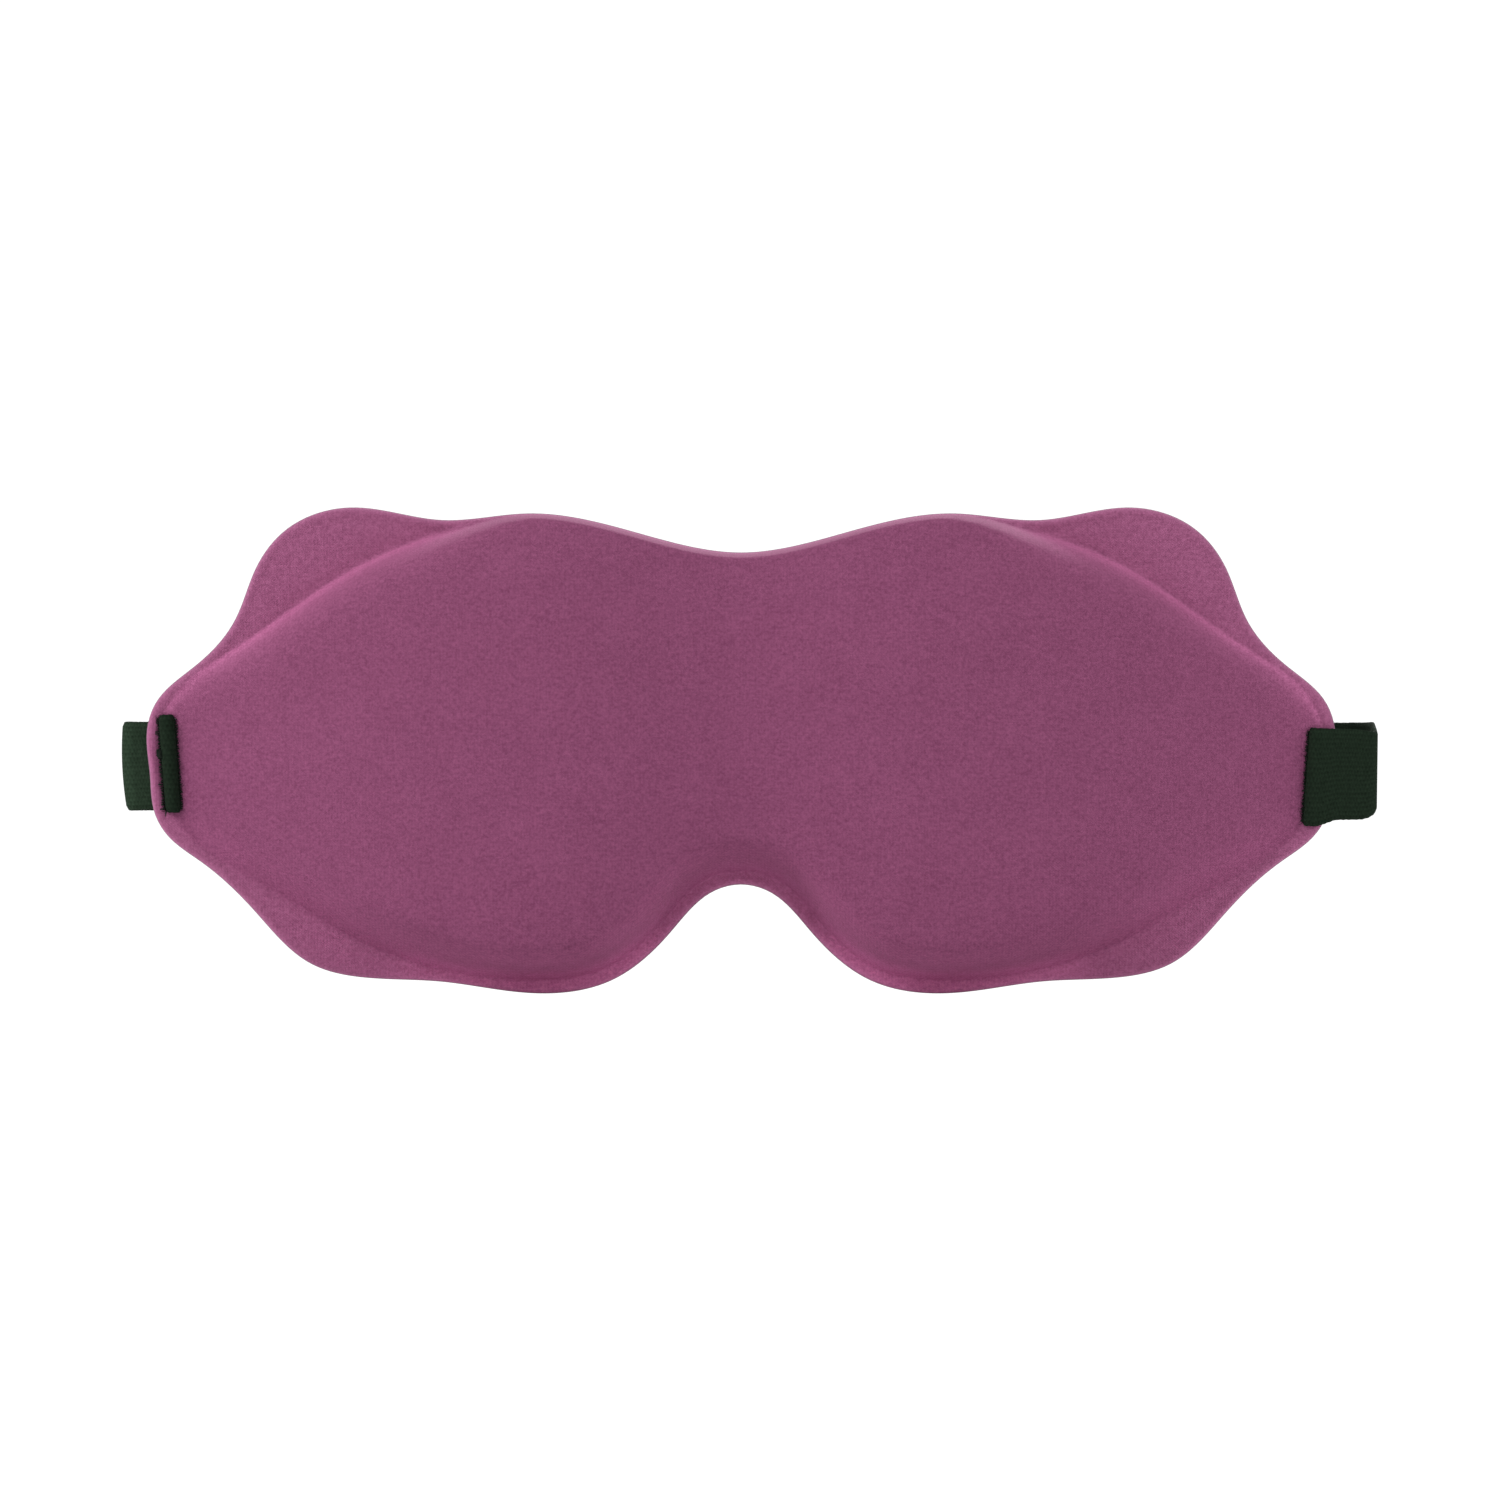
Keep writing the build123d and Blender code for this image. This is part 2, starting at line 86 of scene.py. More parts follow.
def closed_curve(half, count):
    """count evenly spaced points on the smooth closed curve through a right half and its mirror."""
    p = np.array(list(half) + [(-x, z) for x, z in half[-2:0:-1]], float)
    n = len(p)
    after = np.roll(p, -1, 0)
    h = np.linalg.norm(after - p, axis=1)
    before_h = np.roll(h, 1)
    a = np.zeros((n, n))
    for i in range(n):
        a[i, i - 1] = before_h[i]
        a[i, i] = 2 * (before_h[i] + h[i])
        a[i, (i + 1) % n] = h[i]
    slope = (after - p) / h[:, None]
    m = np.linalg.solve(a, 6 * (slope - np.roll(slope, 1, 0)))
    m_after = np.roll(m, -1, 0)
    u = np.linspace(0, 1, 60, endpoint=False)[:, None]
    w = 1 - u
    pieces = []
    for i in range(n):
        bend = ((w**3 - w) * m[i] + (u**3 - u) * m_after[i]) * h[i] ** 2 / 6
        pieces.append(w * p[i] + u * after[i] + bend)
    return resample(np.concatenate(pieces), count, closed=True)


def lengths(path):
    """Length along a polyline to each of its points."""
    return np.concatenate([[0], np.cumsum(np.linalg.norm(np.diff(path, axis=0), axis=1))])


def resample(points, count, closed=False):
    """Evenly spaced points along a polyline."""
    p = np.vstack([points, points[:1]]) if closed else points
    s = lengths(p)
    at = np.linspace(0, s[-1], count, endpoint=not closed)
    return np.column_stack([np.interp(at, s, p[:, k]) for k in range(p.shape[1])])


def inside_distance(points, polygon):
    """Distance of each point from a polygon's edge: positive inside it, negative outside."""
    out = np.empty(len(points))
    a, b = polygon, np.roll(polygon, -1, 0)
    d = b - a
    for start in range(0, len(points), 4000):
        p = points[start : start + 4000, None, :]
        t = np.clip(((p - a) * d).sum(2) / (d * d).sum(1), 0, 1)
        near = np.linalg.norm(p - a - t[..., None] * d, axis=2).min(1)
        above = (a[:, 1] > p[..., 1]) != (b[:, 1] > p[..., 1])
        with np.errstate(divide="ignore", invalid="ignore"):
            cross = a[:, 0] + (p[..., 1] - a[:, 1]) * d[:, 0] / d[:, 1]
        odd = (above & (p[..., 0] < cross)).sum(1) % 2 == 1
        out[start : start + 4000] = np.where(odd, near, -near)
    return out


def blurred(grid, sigma):
    """Gaussian blur of a grid, with sigma in cells."""
    reach = int(3 * sigma) + 1
    k = np.exp(-0.5 * (np.arange(-reach, reach + 1) / sigma) ** 2)
    k /= k.sum()
    pad = np.pad(grid, reach, mode="edge")
    pad = np.apply_along_axis(lambda row: np.convolve(row, k, "valid"), 0, pad)
    return np.apply_along_axis(lambda row: np.convolve(row, k, "valid"), 1, pad)


def bilinear(grid, x, z, x0, z0, step):
    """Value of a grid at (x, z), with grid[i, j] at x0 + i step, z0 + j step."""
    i = np.clip((x - x0) / step, 0, grid.shape[0] - 1.001)
    j = np.clip((z - z0) / step, 0, grid.shape[1] - 1.001)
    i0, j0 = i.astype(int), j.astype(int)
    u, v = i - i0, j - j0
    low = grid[i0, j0] * (1 - u) + grid[i0 + 1, j0] * u
    high = grid[i0, j0 + 1] * (1 - u) + grid[i0 + 1, j0 + 1] * u
    return low * (1 - v) + high * v


def smooth_noise(x, z, size, seed):
    """Smooth random values of about -1 to 1 that change over about size millimetres."""
    made = np.random.default_rng(seed).normal(size=(int(300 / size) + 4, int(160 / size) + 4))
    made = blurred(made, 0.8)
    made /= np.abs(made).max()
    return bilinear(made, x, z, -150.0, -80.0, size)


# ---- the pod's relief ----

FIELD_X0, FIELD_Z0, FIELD_STEP = -124.0, -54.0, 2.0  # the grid that holds SWELL
EYE_HEIGHT, BRIDGE_HEIGHT = 21.0, 17.0
SWELL_REACH = 26.0  # the pod goes on rising this far in from its foot
POD_END = 112.0  # where its height has run out to the sides


def crown(x):
    """The pod's full height at x."""
    across = np.abs(x)
    rise = np.sin(np.pi / 2 * np.minimum(across, EYE_X) / EYE_X) ** 2
    middle = BRIDGE_HEIGHT + (EYE_HEIGHT - BRIDGE_HEIGHT) * rise
    share = np.clip((across - EYE_X) / (POD_END - EYE_X), 0, 1)
    return np.where(across <= EYE_X, middle, EYE_HEIGHT * (1 - share**2) ** 1.15)


def ease(value, low, high):
    """0 below low, 1 above high, smooth between."""
    t = np.clip((value - low) / (high - low), 0, 1)
    return t * t * (3 - 2 * t)


def shoulder_width(x, z):
    """The wall is almost upright along the brow, softer along the outer ridges and the cheeks."""
    brow = 1.2 + 4.0 * ease(np.abs(x), 40, 66)
    cheek = 6.4 + 2.4 * ease(np.abs(x), 46, 66)
    return brow + (cheek - brow) * ease(-z, -12, 8)


def pod_distance(x, z):
    """How far points lie inside the pod's foot, negative outside it."""
    return inside_distance(np.column_stack([np.ravel(x), np.ravel(z)]), POD_LOOP).reshape(np.shape(x))


def make_swell():
    """Share of the slow rise from the shoulder to the middle of the pod, blurred over its ridge."""
    xs = np.arange(FIELD_X0, -FIELD_X0 + 0.5, FIELD_STEP)
    zs = np.arange(FIELD_Z0, 59, FIELD_STEP)
    d = np.clip(pod_distance(*np.meshgrid(xs, zs, indexing="ij")), 0, SWELL_REACH)
    return blurred(1 - (1 - d / SWELL_REACH) ** 2, 2.0)


POD_LOOP = closed_curve(POD, 900)
SWELL = make_swell()
BROW_FOOT, CHEEK_FOOT = 0.25, 0.6  # how far the crease between the flange and the wall is rounded


def dome_y(x, z):
    """Y of the outer face at (x, z), away from the rolled rim."""
    d = np.clip(pod_distance(x, z), 0, None)
    foot = BROW_FOOT + (CHEEK_FOOT - BROW_FOOT) * ease(-z, 2, 16)
    d = d * d / (d + 2 * foot)
    shoulder = 1 - (1 - np.minimum(d / shoulder_width(x, z), 1)) ** 2.3
    swell = bilinear(SWELL, x, z, FIELD_X0, FIELD_Z0, FIELD_STEP)
    height = crown(x) * shoulder * (0.82 + 0.18 * swell)
    return RIM_Y - height - 0.22 * smooth_noise(x, z, 22, 3) * np.clip(height / 6, 0, 1)


# ---- mesh helpers ----


def linked(name, data):
    """A new object in the scene."""
    made = bpy.data.objects.new(name, data)
    bpy.context.scene.collection.objects.link(made)
    return made


def mesh_object(name, points, faces, material):
    """A smooth-shaded mesh object from millimetre coordinates."""
    mesh = bpy.data.meshes.new(name)
    mesh.from_pydata([tuple(p) for p in np.asarray(points) * MM], [], faces)
    mesh.validate()
    mesh.update()
    mesh.shade_smooth()
    mesh.materials.append(material)
    return linked(name, mesh)


def attribute(made, name, values):
    """A float per vertex for a material to read."""
    layer = made.data.attributes.new(name, "FLOAT", "POINT")
    layer.data.foreach_set("value", np.asarray(values, np.float32))


def grid_faces(rows, columns, first=0, closed=False):
    """Quads between rows of points. Each row closes on itself, and the last joins the first if closed."""
    faces = []
    for i in range(rows if closed else rows - 1):
        here, after = first + i * columns, first + (i + 1) % rows * columns
        for k in range(columns):
            beside = (k + 1) % columns
            faces.append((here + k, here + beside, after + beside, after + k))
    return faces


def end_caps(rows, columns):
    """One face over the first row of points and one over the last."""
    return [tuple(range(columns - 1, -1, -1)), tuple((rows - 1) * columns + k for k in range(columns))]


def merged(parts):
    """Several meshes, as (vertices, faces), made one."""
    verts, faces = [], []
    for part_verts, part_faces in parts:
        base = len(verts)
        verts += part_verts
        faces += [tuple(i + base for i in face) for face in part_faces]
    return verts, faces


def slit_frame(side, x):
    """Centre of a slit and its unit axes: across it (outwards from the mask's middle) and up it."""
    up = np.array([side * math.sin(SLIT_SLANT), math.cos(SLIT_SLANT)])
    out = np.array([side * math.cos(SLIT_SLANT), -math.sin(SLIT_SLANT)])
    return np.array([side * SLIT_X, SLIT_Z[side]]) + out * (x - SLIT_X), out, up


def slit_loop(side, x, grow, count=44):
    """A rounded rectangle round a slit, grown by grow, anticlockwise for the right wing."""
    centre, out, up = slit_frame(side, x)
    hw, hh, r = SLIT_W / 2 + grow, SLIT_H / 2 + grow, 0.35 + grow
    quarter = np.linspace(0, np.pi / 2, 5)
    points = []
    for k, (sx, sz) in enumerate([(1, 1), (-1, 1), (-1, -1), (1, -1)]):
        turn = quarter + k * np.pi / 2
        points += [(sx * (hw - r) + r * math.cos(t), sz * (hh - r) + r * math.sin(t)) for t in turn]
    points = resample(np.array(points), count, closed=True)
    return centre + points[:, :1] * out + points[:, 1:] * up


SLITS = [(1, RIGHT_SLIT), (-1, LEFT_SLIT), (-1, OUTER_SLIT)]


def slit_distance(points):
    """Distance of each (x, z) from the nearest slit's edge, positive outside the slits."""
    best = np.full(len(points), 1e9)
    for side, x in SLITS:
        centre, out, up = slit_frame(side, x)
        rel = points - centre
        du = np.abs(rel @ out) - SLIT_W / 2
        dv = np.abs(rel @ up) - SLIT_H / 2
        outside = np.hypot(np.maximum(du, 0), np.maximum(dv, 0))
        best = np.minimum(best, np.where((du < 0) & (dv < 0), np.maximum(du, dv), outside))
    return best


def triangulated(outer, holes, scatter):
    """Delaunay triangles of scattered points inside an outer loop and outside the holes."""
    points, edges = [], []
    for loop in [outer] + holes:
        first, n = len(points), len(loop)
        points += [tuple(p) for p in loop]
        edges += [(first + i, first + (i + 1) % n) for i in range(n)]
    points += [tuple(p) for p in scatter]
    co, _, tris, *_ = delaunay_2d_cdt([Vector(p) for p in points], edges, [], 0, 1e-6)
    co = np.array([tuple(v) for v in co])
    tris = np.array([t[:3] for t in tris])
    centre = co[tris].mean(1)
    keep = inside_distance(centre, outer) > 0
    for hole in holes:
        keep &= inside_distance(centre, hole) < 0
    return co, tris[keep]


def hex_grid(step):
    """Points of a triangular lattice that covers the mask."""
    rows = []
    for k, z in enumerate(np.arange(-50, 56, step * 0.866)):
        xs = np.arange(-122, 122, step) + (step / 2 if k % 2 else 0)
        rows.append(np.column_stack([xs, np.full(len(xs), z)]))
    return np.concatenate(rows)


def tube(points, radius, sides):
    """Vertices and faces of a thin tube along a polyline, pointed at its ends."""
    p = np.asarray(points, float)
    n = len(p)
    tangent = np.gradient(p, axis=0)
    tangent /= np.linalg.norm(tangent, axis=1)[:, None]
    ref = np.array([0.0, 0, 1]) if abs(tangent[0][2]) < 0.8 else np.array([1.0, 0, 0])
    verts = []
    for i in range(n):
        a = np.cross(tangent[i], ref)
        a /= np.linalg.norm(a)
        b = np.cross(tangent[i], a)
        r = radius * min(1.0, 0.45 + 0.4 * min(i, n - 1 - i))
        for k in range(sides):
            t = 2 * math.pi * k / sides
            verts.append(p[i] + r * (math.cos(t) * a + math.sin(t) * b))
    return verts, grid_faces(n, sides) + end_caps(n, sides)


def tubes_object(name, polylines, radius, material, sides=6):
    """Many threads as one object."""
    return mesh_object(name, *merged(tube(line, radius, sides) for line in polylines), material)


# ---- materials ----


class Nodes:
    """A short way to build a node material."""

    def __init__(self, name):
        self.material = bpy.data.materials.new(name)
        self.material.use_nodes = True
        self.tree = self.material.node_tree
        self.bsdf = self.tree.nodes["Principled BSDF"]

    def add(self, kind, inputs=None, **settings):
        node = self.tree.nodes.new(kind)
        for key, value in settings.items():
            setattr(node, key, value)
        return self.fill(node, inputs or {})

    def fill(self, node, inputs):
        """Links or sets a node's inputs."""
        for key, value in inputs.items():
            if isinstance(value, bpy.types.NodeSocket):
                self.tree.links.new(value, node.inputs[key])
            else:
                node.inputs[key].default_value = value
        return node

    def math(self, operation, a, b=0.0, c=0.0):
        return self.add("ShaderNodeMath", {0: a, 1: b, 2: c}, operation=operation).outputs[0]

    def noise(self, vector, scale, detail=2.0, roughness=0.5):
        inputs = {"Vector": vector, "Scale": scale, "Detail": detail, "Roughness": roughness}
        return self.add("ShaderNodeTexNoise", inputs).outputs["Fac"]

    def millimetres(self, stretch=(1, 1, 1)):
        """Object coordinates in millimetres, stretched per axis."""
        coordinate = self.add("ShaderNodeTexCoord").outputs["Object"]
        mapping = self.add("ShaderNodeMapping", {"Vector": coordinate, "Scale": [1000 * s for s in stretch]})
        return mapping.outputs["Vector"]

    def mix(self, factor, a, b, blend="MIX"):
        node = self.add("ShaderNodeMix", {0: factor, 6: a, 7: b}, data_type="RGBA", blend_type=blend)
        return node.outputs[2]

    def read(self, name):
        return self.add("ShaderNodeAttribute", attribute_name=name).outputs["Fac"]

    def vary(self, base, value, amount):
        """base, made higher or lower as value is above or below a half."""
        return self.math("MULTIPLY_ADD", self.math("SUBTRACT", value, 0.5), amount, base)

    def grey(self, value):
        return self.add("ShaderNodeCombineColor", {0: value, 1: value, 2: value}).outputs[0]

    def range(self, value, low, high, to_low, to_high):
        inputs = {0: value, 1: low, 2: high, 3: to_low, 4: to_high}
        return self.add("ShaderNodeMapRange", inputs).outputs[0]

    def bump(self, height, distance, strength=1.0):
        inputs = {"Height": height, "Distance": distance * MM, "Strength": strength}
        return self.add("ShaderNodeBump", inputs).outputs["Normal"]

    def finish(self, colour, roughness, normal, sheen, sheen_tint, specular):
        """Sets the surface and returns the material."""
        self.fill(self.bsdf, {
            "Base Color": colour, "Roughness": roughness, "Normal": normal, "Sheen Weight": sheen,
            "Sheen Roughness": 0.45, "Sheen Tint": sheen_tint, "Specular IOR Level": specular,
        })
        return self.material


def rgba(r, g, b):
    return (r, g, b, 1.0)


def knit_height(n, wale, course):
    """Rows of V-shaped knit stitches in the XZ plane, as a height of 0 to 1."""
    split = n.add("ShaderNodeSeparateXYZ", {0: n.millimetres()})
    u = n.math("DIVIDE", split.outputs["X"], wale)
    v = n.math("DIVIDE", split.outputs["Z"], course)
    leg = n.math("PINGPONG", u, 0.5)
    slope = n.math("MULTIPLY_ADD", leg, 1.4, v)
    wave = n.math("SINE", n.math("MULTIPLY", slope, 2 * math.pi))
    rib = n.math("SINE", n.math("MULTIPLY", u, 2 * math.pi))
    return n.math("MULTIPLY_ADD", wave, 0.3, n.math("MULTIPLY_ADD", rib, 0.2, 0.5))


CORD = 0.95  # spacing of the webbing's cords
PRESSED_AND_PAINTED_LIGHT_TINT = rgba(1.36, 1.50, 1.40)  # flattened knit is lighter; the tint also paints bounce light on the flange and a highlight on the ridges
NAP_TINT = rgba(0.62, 0.20, 0.40)  # the nap's soft gleam


def knit_material(name, dark, light, pale, wale=0.62, course=0.5, mottle=1.0, sheen=0.16):
    """Heathered fine knit. Its attributes: edge for a painted sheen along the rim, one for flattened cloth
    with painted bounce light and a painted ridge highlight, and one for how much lighter painted light makes
    shaded cloth."""
    n = Nodes(name)
    knit = knit_height(n, wale, course)
    fine = n.noise(n.millimetres(), 1.9, 3.0, 0.7)
    streak = n.noise(n.millimetres((0.6, 1, 1.6)), 1.0, 2.0, 0.6)
    cloud = n.noise(n.millimetres(), 0.11, 2.0, 0.5)
    mixed = n.math("MULTIPLY_ADD", fine, 0.72, n.math("MULTIPLY", streak, 0.28))
    factor = n.range(mixed, 0.5 - 0.14 / mottle, 0.5 + 0.14 / mottle, 0.0, 1.0)
    colour = n.mix(n.vary(n.vary(factor, cloud, 0.35), knit, 0.25), dark, light)
    # Painted light: flattened cloth made lighter, which also paints bounce light on the flange and the
    # ridges' highlight.
    colour = n.mix(n.read("pressed_and_painted_light"), colour, n.mix(1.0, colour, PRESSED_AND_PAINTED_LIGHT_TINT, "MULTIPLY"))
    # Painted light: the cloth is made lighter where the crease and the lower wall are in shade, and on the
    # ridges.
    colour = n.mix(1.0, colour, n.grey(n.math("ADD", n.read("painted_light"), 1.0)), "MULTIPLY")
    # Painted sheen: mixed towards the pale colour along the rims; on the cushions, paler where each stitch
    # pulls.
    colour = n.mix(n.read("edge"), colour, pale)
    normal = n.bump(n.math("MULTIPLY_ADD", fine, 0.5, knit), 0.09, 0.5)
    return n.finish(colour, 0.9, normal, sheen, NAP_TINT, 0.12)


def webbing_material(name, dark, light):
    """Woven elastic: cords along the band and fine picks across it, in the band's own coordinates."""
    n = Nodes(name)
    along, across = n.read("along"), n.read("across")
    cord = n.math("SINE", n.math("MULTIPLY", across, 2 * math.pi / CORD))
    offset = n.math("MULTIPLY", n.math("SNAP", n.math("DIVIDE", across, CORD), 1.0), 0.5)
    turns = n.math("ADD", n.math("DIVIDE", along, 0.6), offset)
    pick = n.math("SINE", n.math("MULTIPLY", turns, 2 * math.pi))
    height = n.math("MULTIPLY_ADD", cord, 0.13, n.math("MULTIPLY_ADD", pick, 0.15, 0.5))
    grain = n.noise(n.millimetres(), 1.6, 2.0, 0.7)
    woven = n.mix(n.vary(height, grain, 1.3), dark, light)
    # Painted light and shade: the band is made lighter or darker by a factor along it.
    colour = n.mix(1.0, woven, n.grey(n.read("painted_light_tone")), "MULTIPLY")
    normal = n.bump(n.math("MULTIPLY_ADD", grain, 0.3, height), 0.07, 0.7)
    return n.finish(colour, 0.9, normal, 0.02, rgba(0.2, 0.3, 0.2), 0.05)


def thread_material(name, dark, light):
    """Twisted sewing thread."""
    n = Nodes(name)
    twist = n.add("ShaderNodeTexWave", {"Vector": n.millimetres(), "Scale": 1.1, "Distortion": 1.5})
    colour = n.mix(twist.outputs["Fac"], dark, light)
    normal = n.bump(twist.outputs["Fac"], 0.04, 0.6)
    return n.finish(colour, 0.75, normal, 0.05, light, 0.15)


def foam_material(name, dark, light):
    """Open-cell foam seen at a cut edge."""
    n = Nodes(name)
    cells = n.add("ShaderNodeTexVoronoi", {"Vector": n.millimetres(), "Scale": 3.2})
    fine = n.noise(n.millimetres(), 4.0, 2.0)
    pores = n.math("MULTIPLY_ADD", fine, 0.5, cells.outputs["Distance"])
    colour = n.mix(n.range(pores, 0.1, 0.9, 0, 1), dark, light)
    return n.finish(colour, 0.95, n.bump(pores, 0.15, 0.8), 0.1, light, 0.1)


def plastic_material(name, dark, light):
    """Moulded plastic with a fine spark-eroded texture."""
    n = Nodes(name)
    grain = n.noise(n.millimetres(), 5.0, 2.0)
    wear = n.noise(n.millimetres(), 0.25, 3.0)
    colour = n.mix(n.range(wear, 0.35, 0.65, 0, 1), dark, light)
    roughness = n.range(wear, 0.3, 0.7, 0.34, 0.48)
    return n.finish(colour, roughness, n.bump(grain, 0.02, 0.5), 0.0, light, 0.5)


# The third colour of each knit is the pale that the painted rim sheen mixes in.
MAUVE = knit_material("mauve_knit", rgba(0.180, 0.045, 0.106), rgba(0.272, 0.077, 0.166),
                      rgba(0.50, 0.22, 0.36))
LINING = knit_material("lining_tricot", rgba(0.050, 0.016, 0.033), rgba(0.085, 0.030, 0.057),
                       rgba(0.22, 0.10, 0.16), 0.5, 0.42, 0.8, 0.25)
CUSHION = knit_material("cushion_tricot", rgba(0.060, 0.020, 0.040), rgba(0.100, 0.036, 0.068),
                        rgba(0.22, 0.10, 0.16), 0.5, 0.42, 0.8, 0.3)
FOAM = foam_material("core_foam", rgba(0.16, 0.07, 0.11), rgba(0.34, 0.18, 0.26))
WEBBING = webbing_material("elastic_webbing", rgba(0.0058, 0.0108, 0.0062), rgba(0.0150, 0.0265, 0.0160))
DARK_THREAD = thread_material("dark_thread", rgba(0.004, 0.006, 0.004), rgba(0.013, 0.018, 0.013))
PLUM_THREAD = thread_material("plum_thread", rgba(0.07, 0.022, 0.045), rgba(0.15, 0.055, 0.1))
PLASTIC = plastic_material("slider_plastic", rgba(0.010, 0.012, 0.011), rgba(0.020, 0.023, 0.021))


# ---- the moulded body ----


def outline_inset(loop, distance):
    """A closed loop moved inwards along its normals."""
    tangent = np.roll(loop, -1, 0) - np.roll(loop, 1, 0)
    tangent /= np.linalg.norm(tangent, axis=1)[:, None]
    normal = np.column_stack([tangent[:, 1], -tangent[:, 0]])
    if inside_distance(loop + normal * 0.01, loop).mean() < 0:
        normal = -normal
    return loop + normal * distance


OUTLINE_LOOP = closed_curve(OUTLINE, 900)
ROLL = 0.95  # radius of the rolled rim


def sheet(step, rings, slit_rings, wall_rings):
    """Triangulated mask outline with extra rings of points along the rim, up the pod's wall and
    round the slits. Each ring is given by its distance from its edge."""
    rim = [outline_inset(OUTLINE_LOOP, r) for r in rings]
    holes = [slit_loop(side, x, 0.0) for side, x in SLITS]
    around = np.concatenate([slit_loop(side, x, g) for side, x in SLITS for g in slit_rings])
    around = around[slit_distance(around) > 0.05]
    up_wall = np.concatenate([outline_inset(POD_LOOP, r) for r in wall_rings])
    up_wall = up_wall[clear_of_edges(up_wall, rings[-1] + 0.3, slit_rings[-1] + 0.3)]
    grid = hex_grid(step)
    far = clear_of_edges(grid, rings[-1] + 0.45 * step, slit_rings[-1] + 0.45 * step)
    wall = inside_distance(grid, POD_LOOP)
    far &= (wall < wall_rings[0] - 0.5 * step) | (wall > wall_rings[-1] + 0.5 * step)
    return triangulated(rim[0], holes, np.concatenate(rim[1:] + [around, up_wall, grid[far]]))


def clear_of_edges(points, from_rim, from_slits):
    """Which points keep these distances from the rim and from the slits."""
    return (inside_distance(points, OUTLINE_LOOP) > from_rim) & (slit_distance(points) > from_slits)


def rolled(distance, radius):
    """How far a rolled edge drops back at a distance inside it."""
    d = np.clip(distance, 0, radius)
    return radius - np.sqrt(np.maximum(radius**2 - (radius - d) ** 2, 0))


def make_front_cover():
    """The outer knit, moulded over the pod, rolled back at the rim and at the slits."""
    wall_rings = (-0.7, -0.2, 0.15, 0.45, 0.85, 1.35, 2.0, 2.8, 3.8, 5.0, 6.4)
    co, tris = sheet(1.0, (0.0, 0.12, 0.35, 0.65, 1.0, 1.5), (0.12, 0.35, 0.7), wall_rings)
    x, z = co[:, 0], co[:, 1]
    rim, slit, inside = inside_distance(co, OUTLINE_LOOP), slit_distance(co), pod_distance(x, z)
    y = dome_y(x, z) + rolled(rim, ROLL) + rolled(slit, 0.6)
    # The knit is pressed flatter along the rim, and puckers a little where the slits are sewn.
    y += 0.18 * np.exp(-((rim - 2.4) / 0.7) ** 2)
    y += 0.12 * np.exp(-slit / 1.2) * np.sin(z * 4.4)
    made = mesh_object("front_cover_knit", np.column_stack([x, y, z]), tris.tolist(), MAUVE)
    # Painted sheen: paler along the rolled rim and the slit edges.
    edge = 0.32 * np.exp(-((rim / 0.35) ** 2)) + 0.04 * np.exp(-((rim / 1.5) ** 2))
    edge += 0.10 * np.exp(-((slit / 0.3) ** 2))
    attribute(made, "edge", np.clip(edge, 0, 1))
    # Painted light: the flange is lighter as flattened knit and with painted bounce light; painted light
    # lifts the shade most of all in the narrow strip below the pod, and on the lower wall; the outer ridges
    # get a painted highlight.
    strip = (1 - ease(inside, 0.9, 2.8)) * (1 - ease(rim - inside, 3, 6)) * ease(-z, 8, 18)
    strip *= 1 - ease(np.abs(x), 48, 82)
    wall = (1 - ease(inside, 2, 8)) * ease(inside, -0.5, 1.0) * ease(-z, 6, 18)
    # Painted highlight just inside the pod's foot along the upper outer ridges.
    ridge = np.exp(-np.clip(inside - 0.8, 0, None) / 2.2) * ease(inside, -0.2, 0.5)
    ridge *= ease(np.abs(x), 44, 66) * ease(z, -2, 14)
    attribute(made, "pressed_and_painted_light", 1 - ease(inside, -0.6, 0.6) + 1.1 * ridge)
    # Painted light: lighter in the strip below the pod, on the lower wall and on the ridges.
    attribute(made, "painted_light", (0.2 + 0.45 * ease(-z, 30, 40)) * strip + 0.14 * wall + 0.3 * ridge**2)
    thicken = made.modifiers.new("thickness", "SOLIDIFY")
    thicken.thickness = 0.5 * MM
    thicken.offset = -1
    face_front(made)
    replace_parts(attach(made, "mask"), "front_cover")


def face_front(made):
    """Turns the mesh's faces to look along -Y."""
    normal = sum((p.normal * p.area for p in made.data.polygons), Vector())
    if normal.y > 0:
        made.data.flip_normals()


def band_mesh(loop, y_front, y_back, bulge, depth, rows=6):
    """A closed ring of rectangular section along a loop, bulging outwards at its outer face."""
    profile = [(-bulge * math.sin(math.pi * k / rows), y_front + (y_back - y_front) * k / rows)
               for k in range(rows + 1)]
    profile += [(depth, y_back), (depth, y_front)]
    verts = [(x, y, z) for inset, y in profile for x, z in outline_inset(loop, inset)]
    return verts, grid_faces(len(profile), len(loop), closed=True)


def make_foam_core():
    """The foam as it shows at the cut rim and inside the slits."""
    bands = [band_mesh(OUTLINE_LOOP[::2], RIM_Y + 0.85, LINING_Y - 0.05, 0.10, 1.4)]
    bands += [band_mesh(slit_loop(side, x, 0.9), RIM_Y + 0.6, LINING_Y - 0.05, 0.0, 0.85, 2)
              for side, x in SLITS]
    made = mesh_object("foam_core_edge", *merged(bands), FOAM)
    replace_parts(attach(made, "mask"), "foam_core")


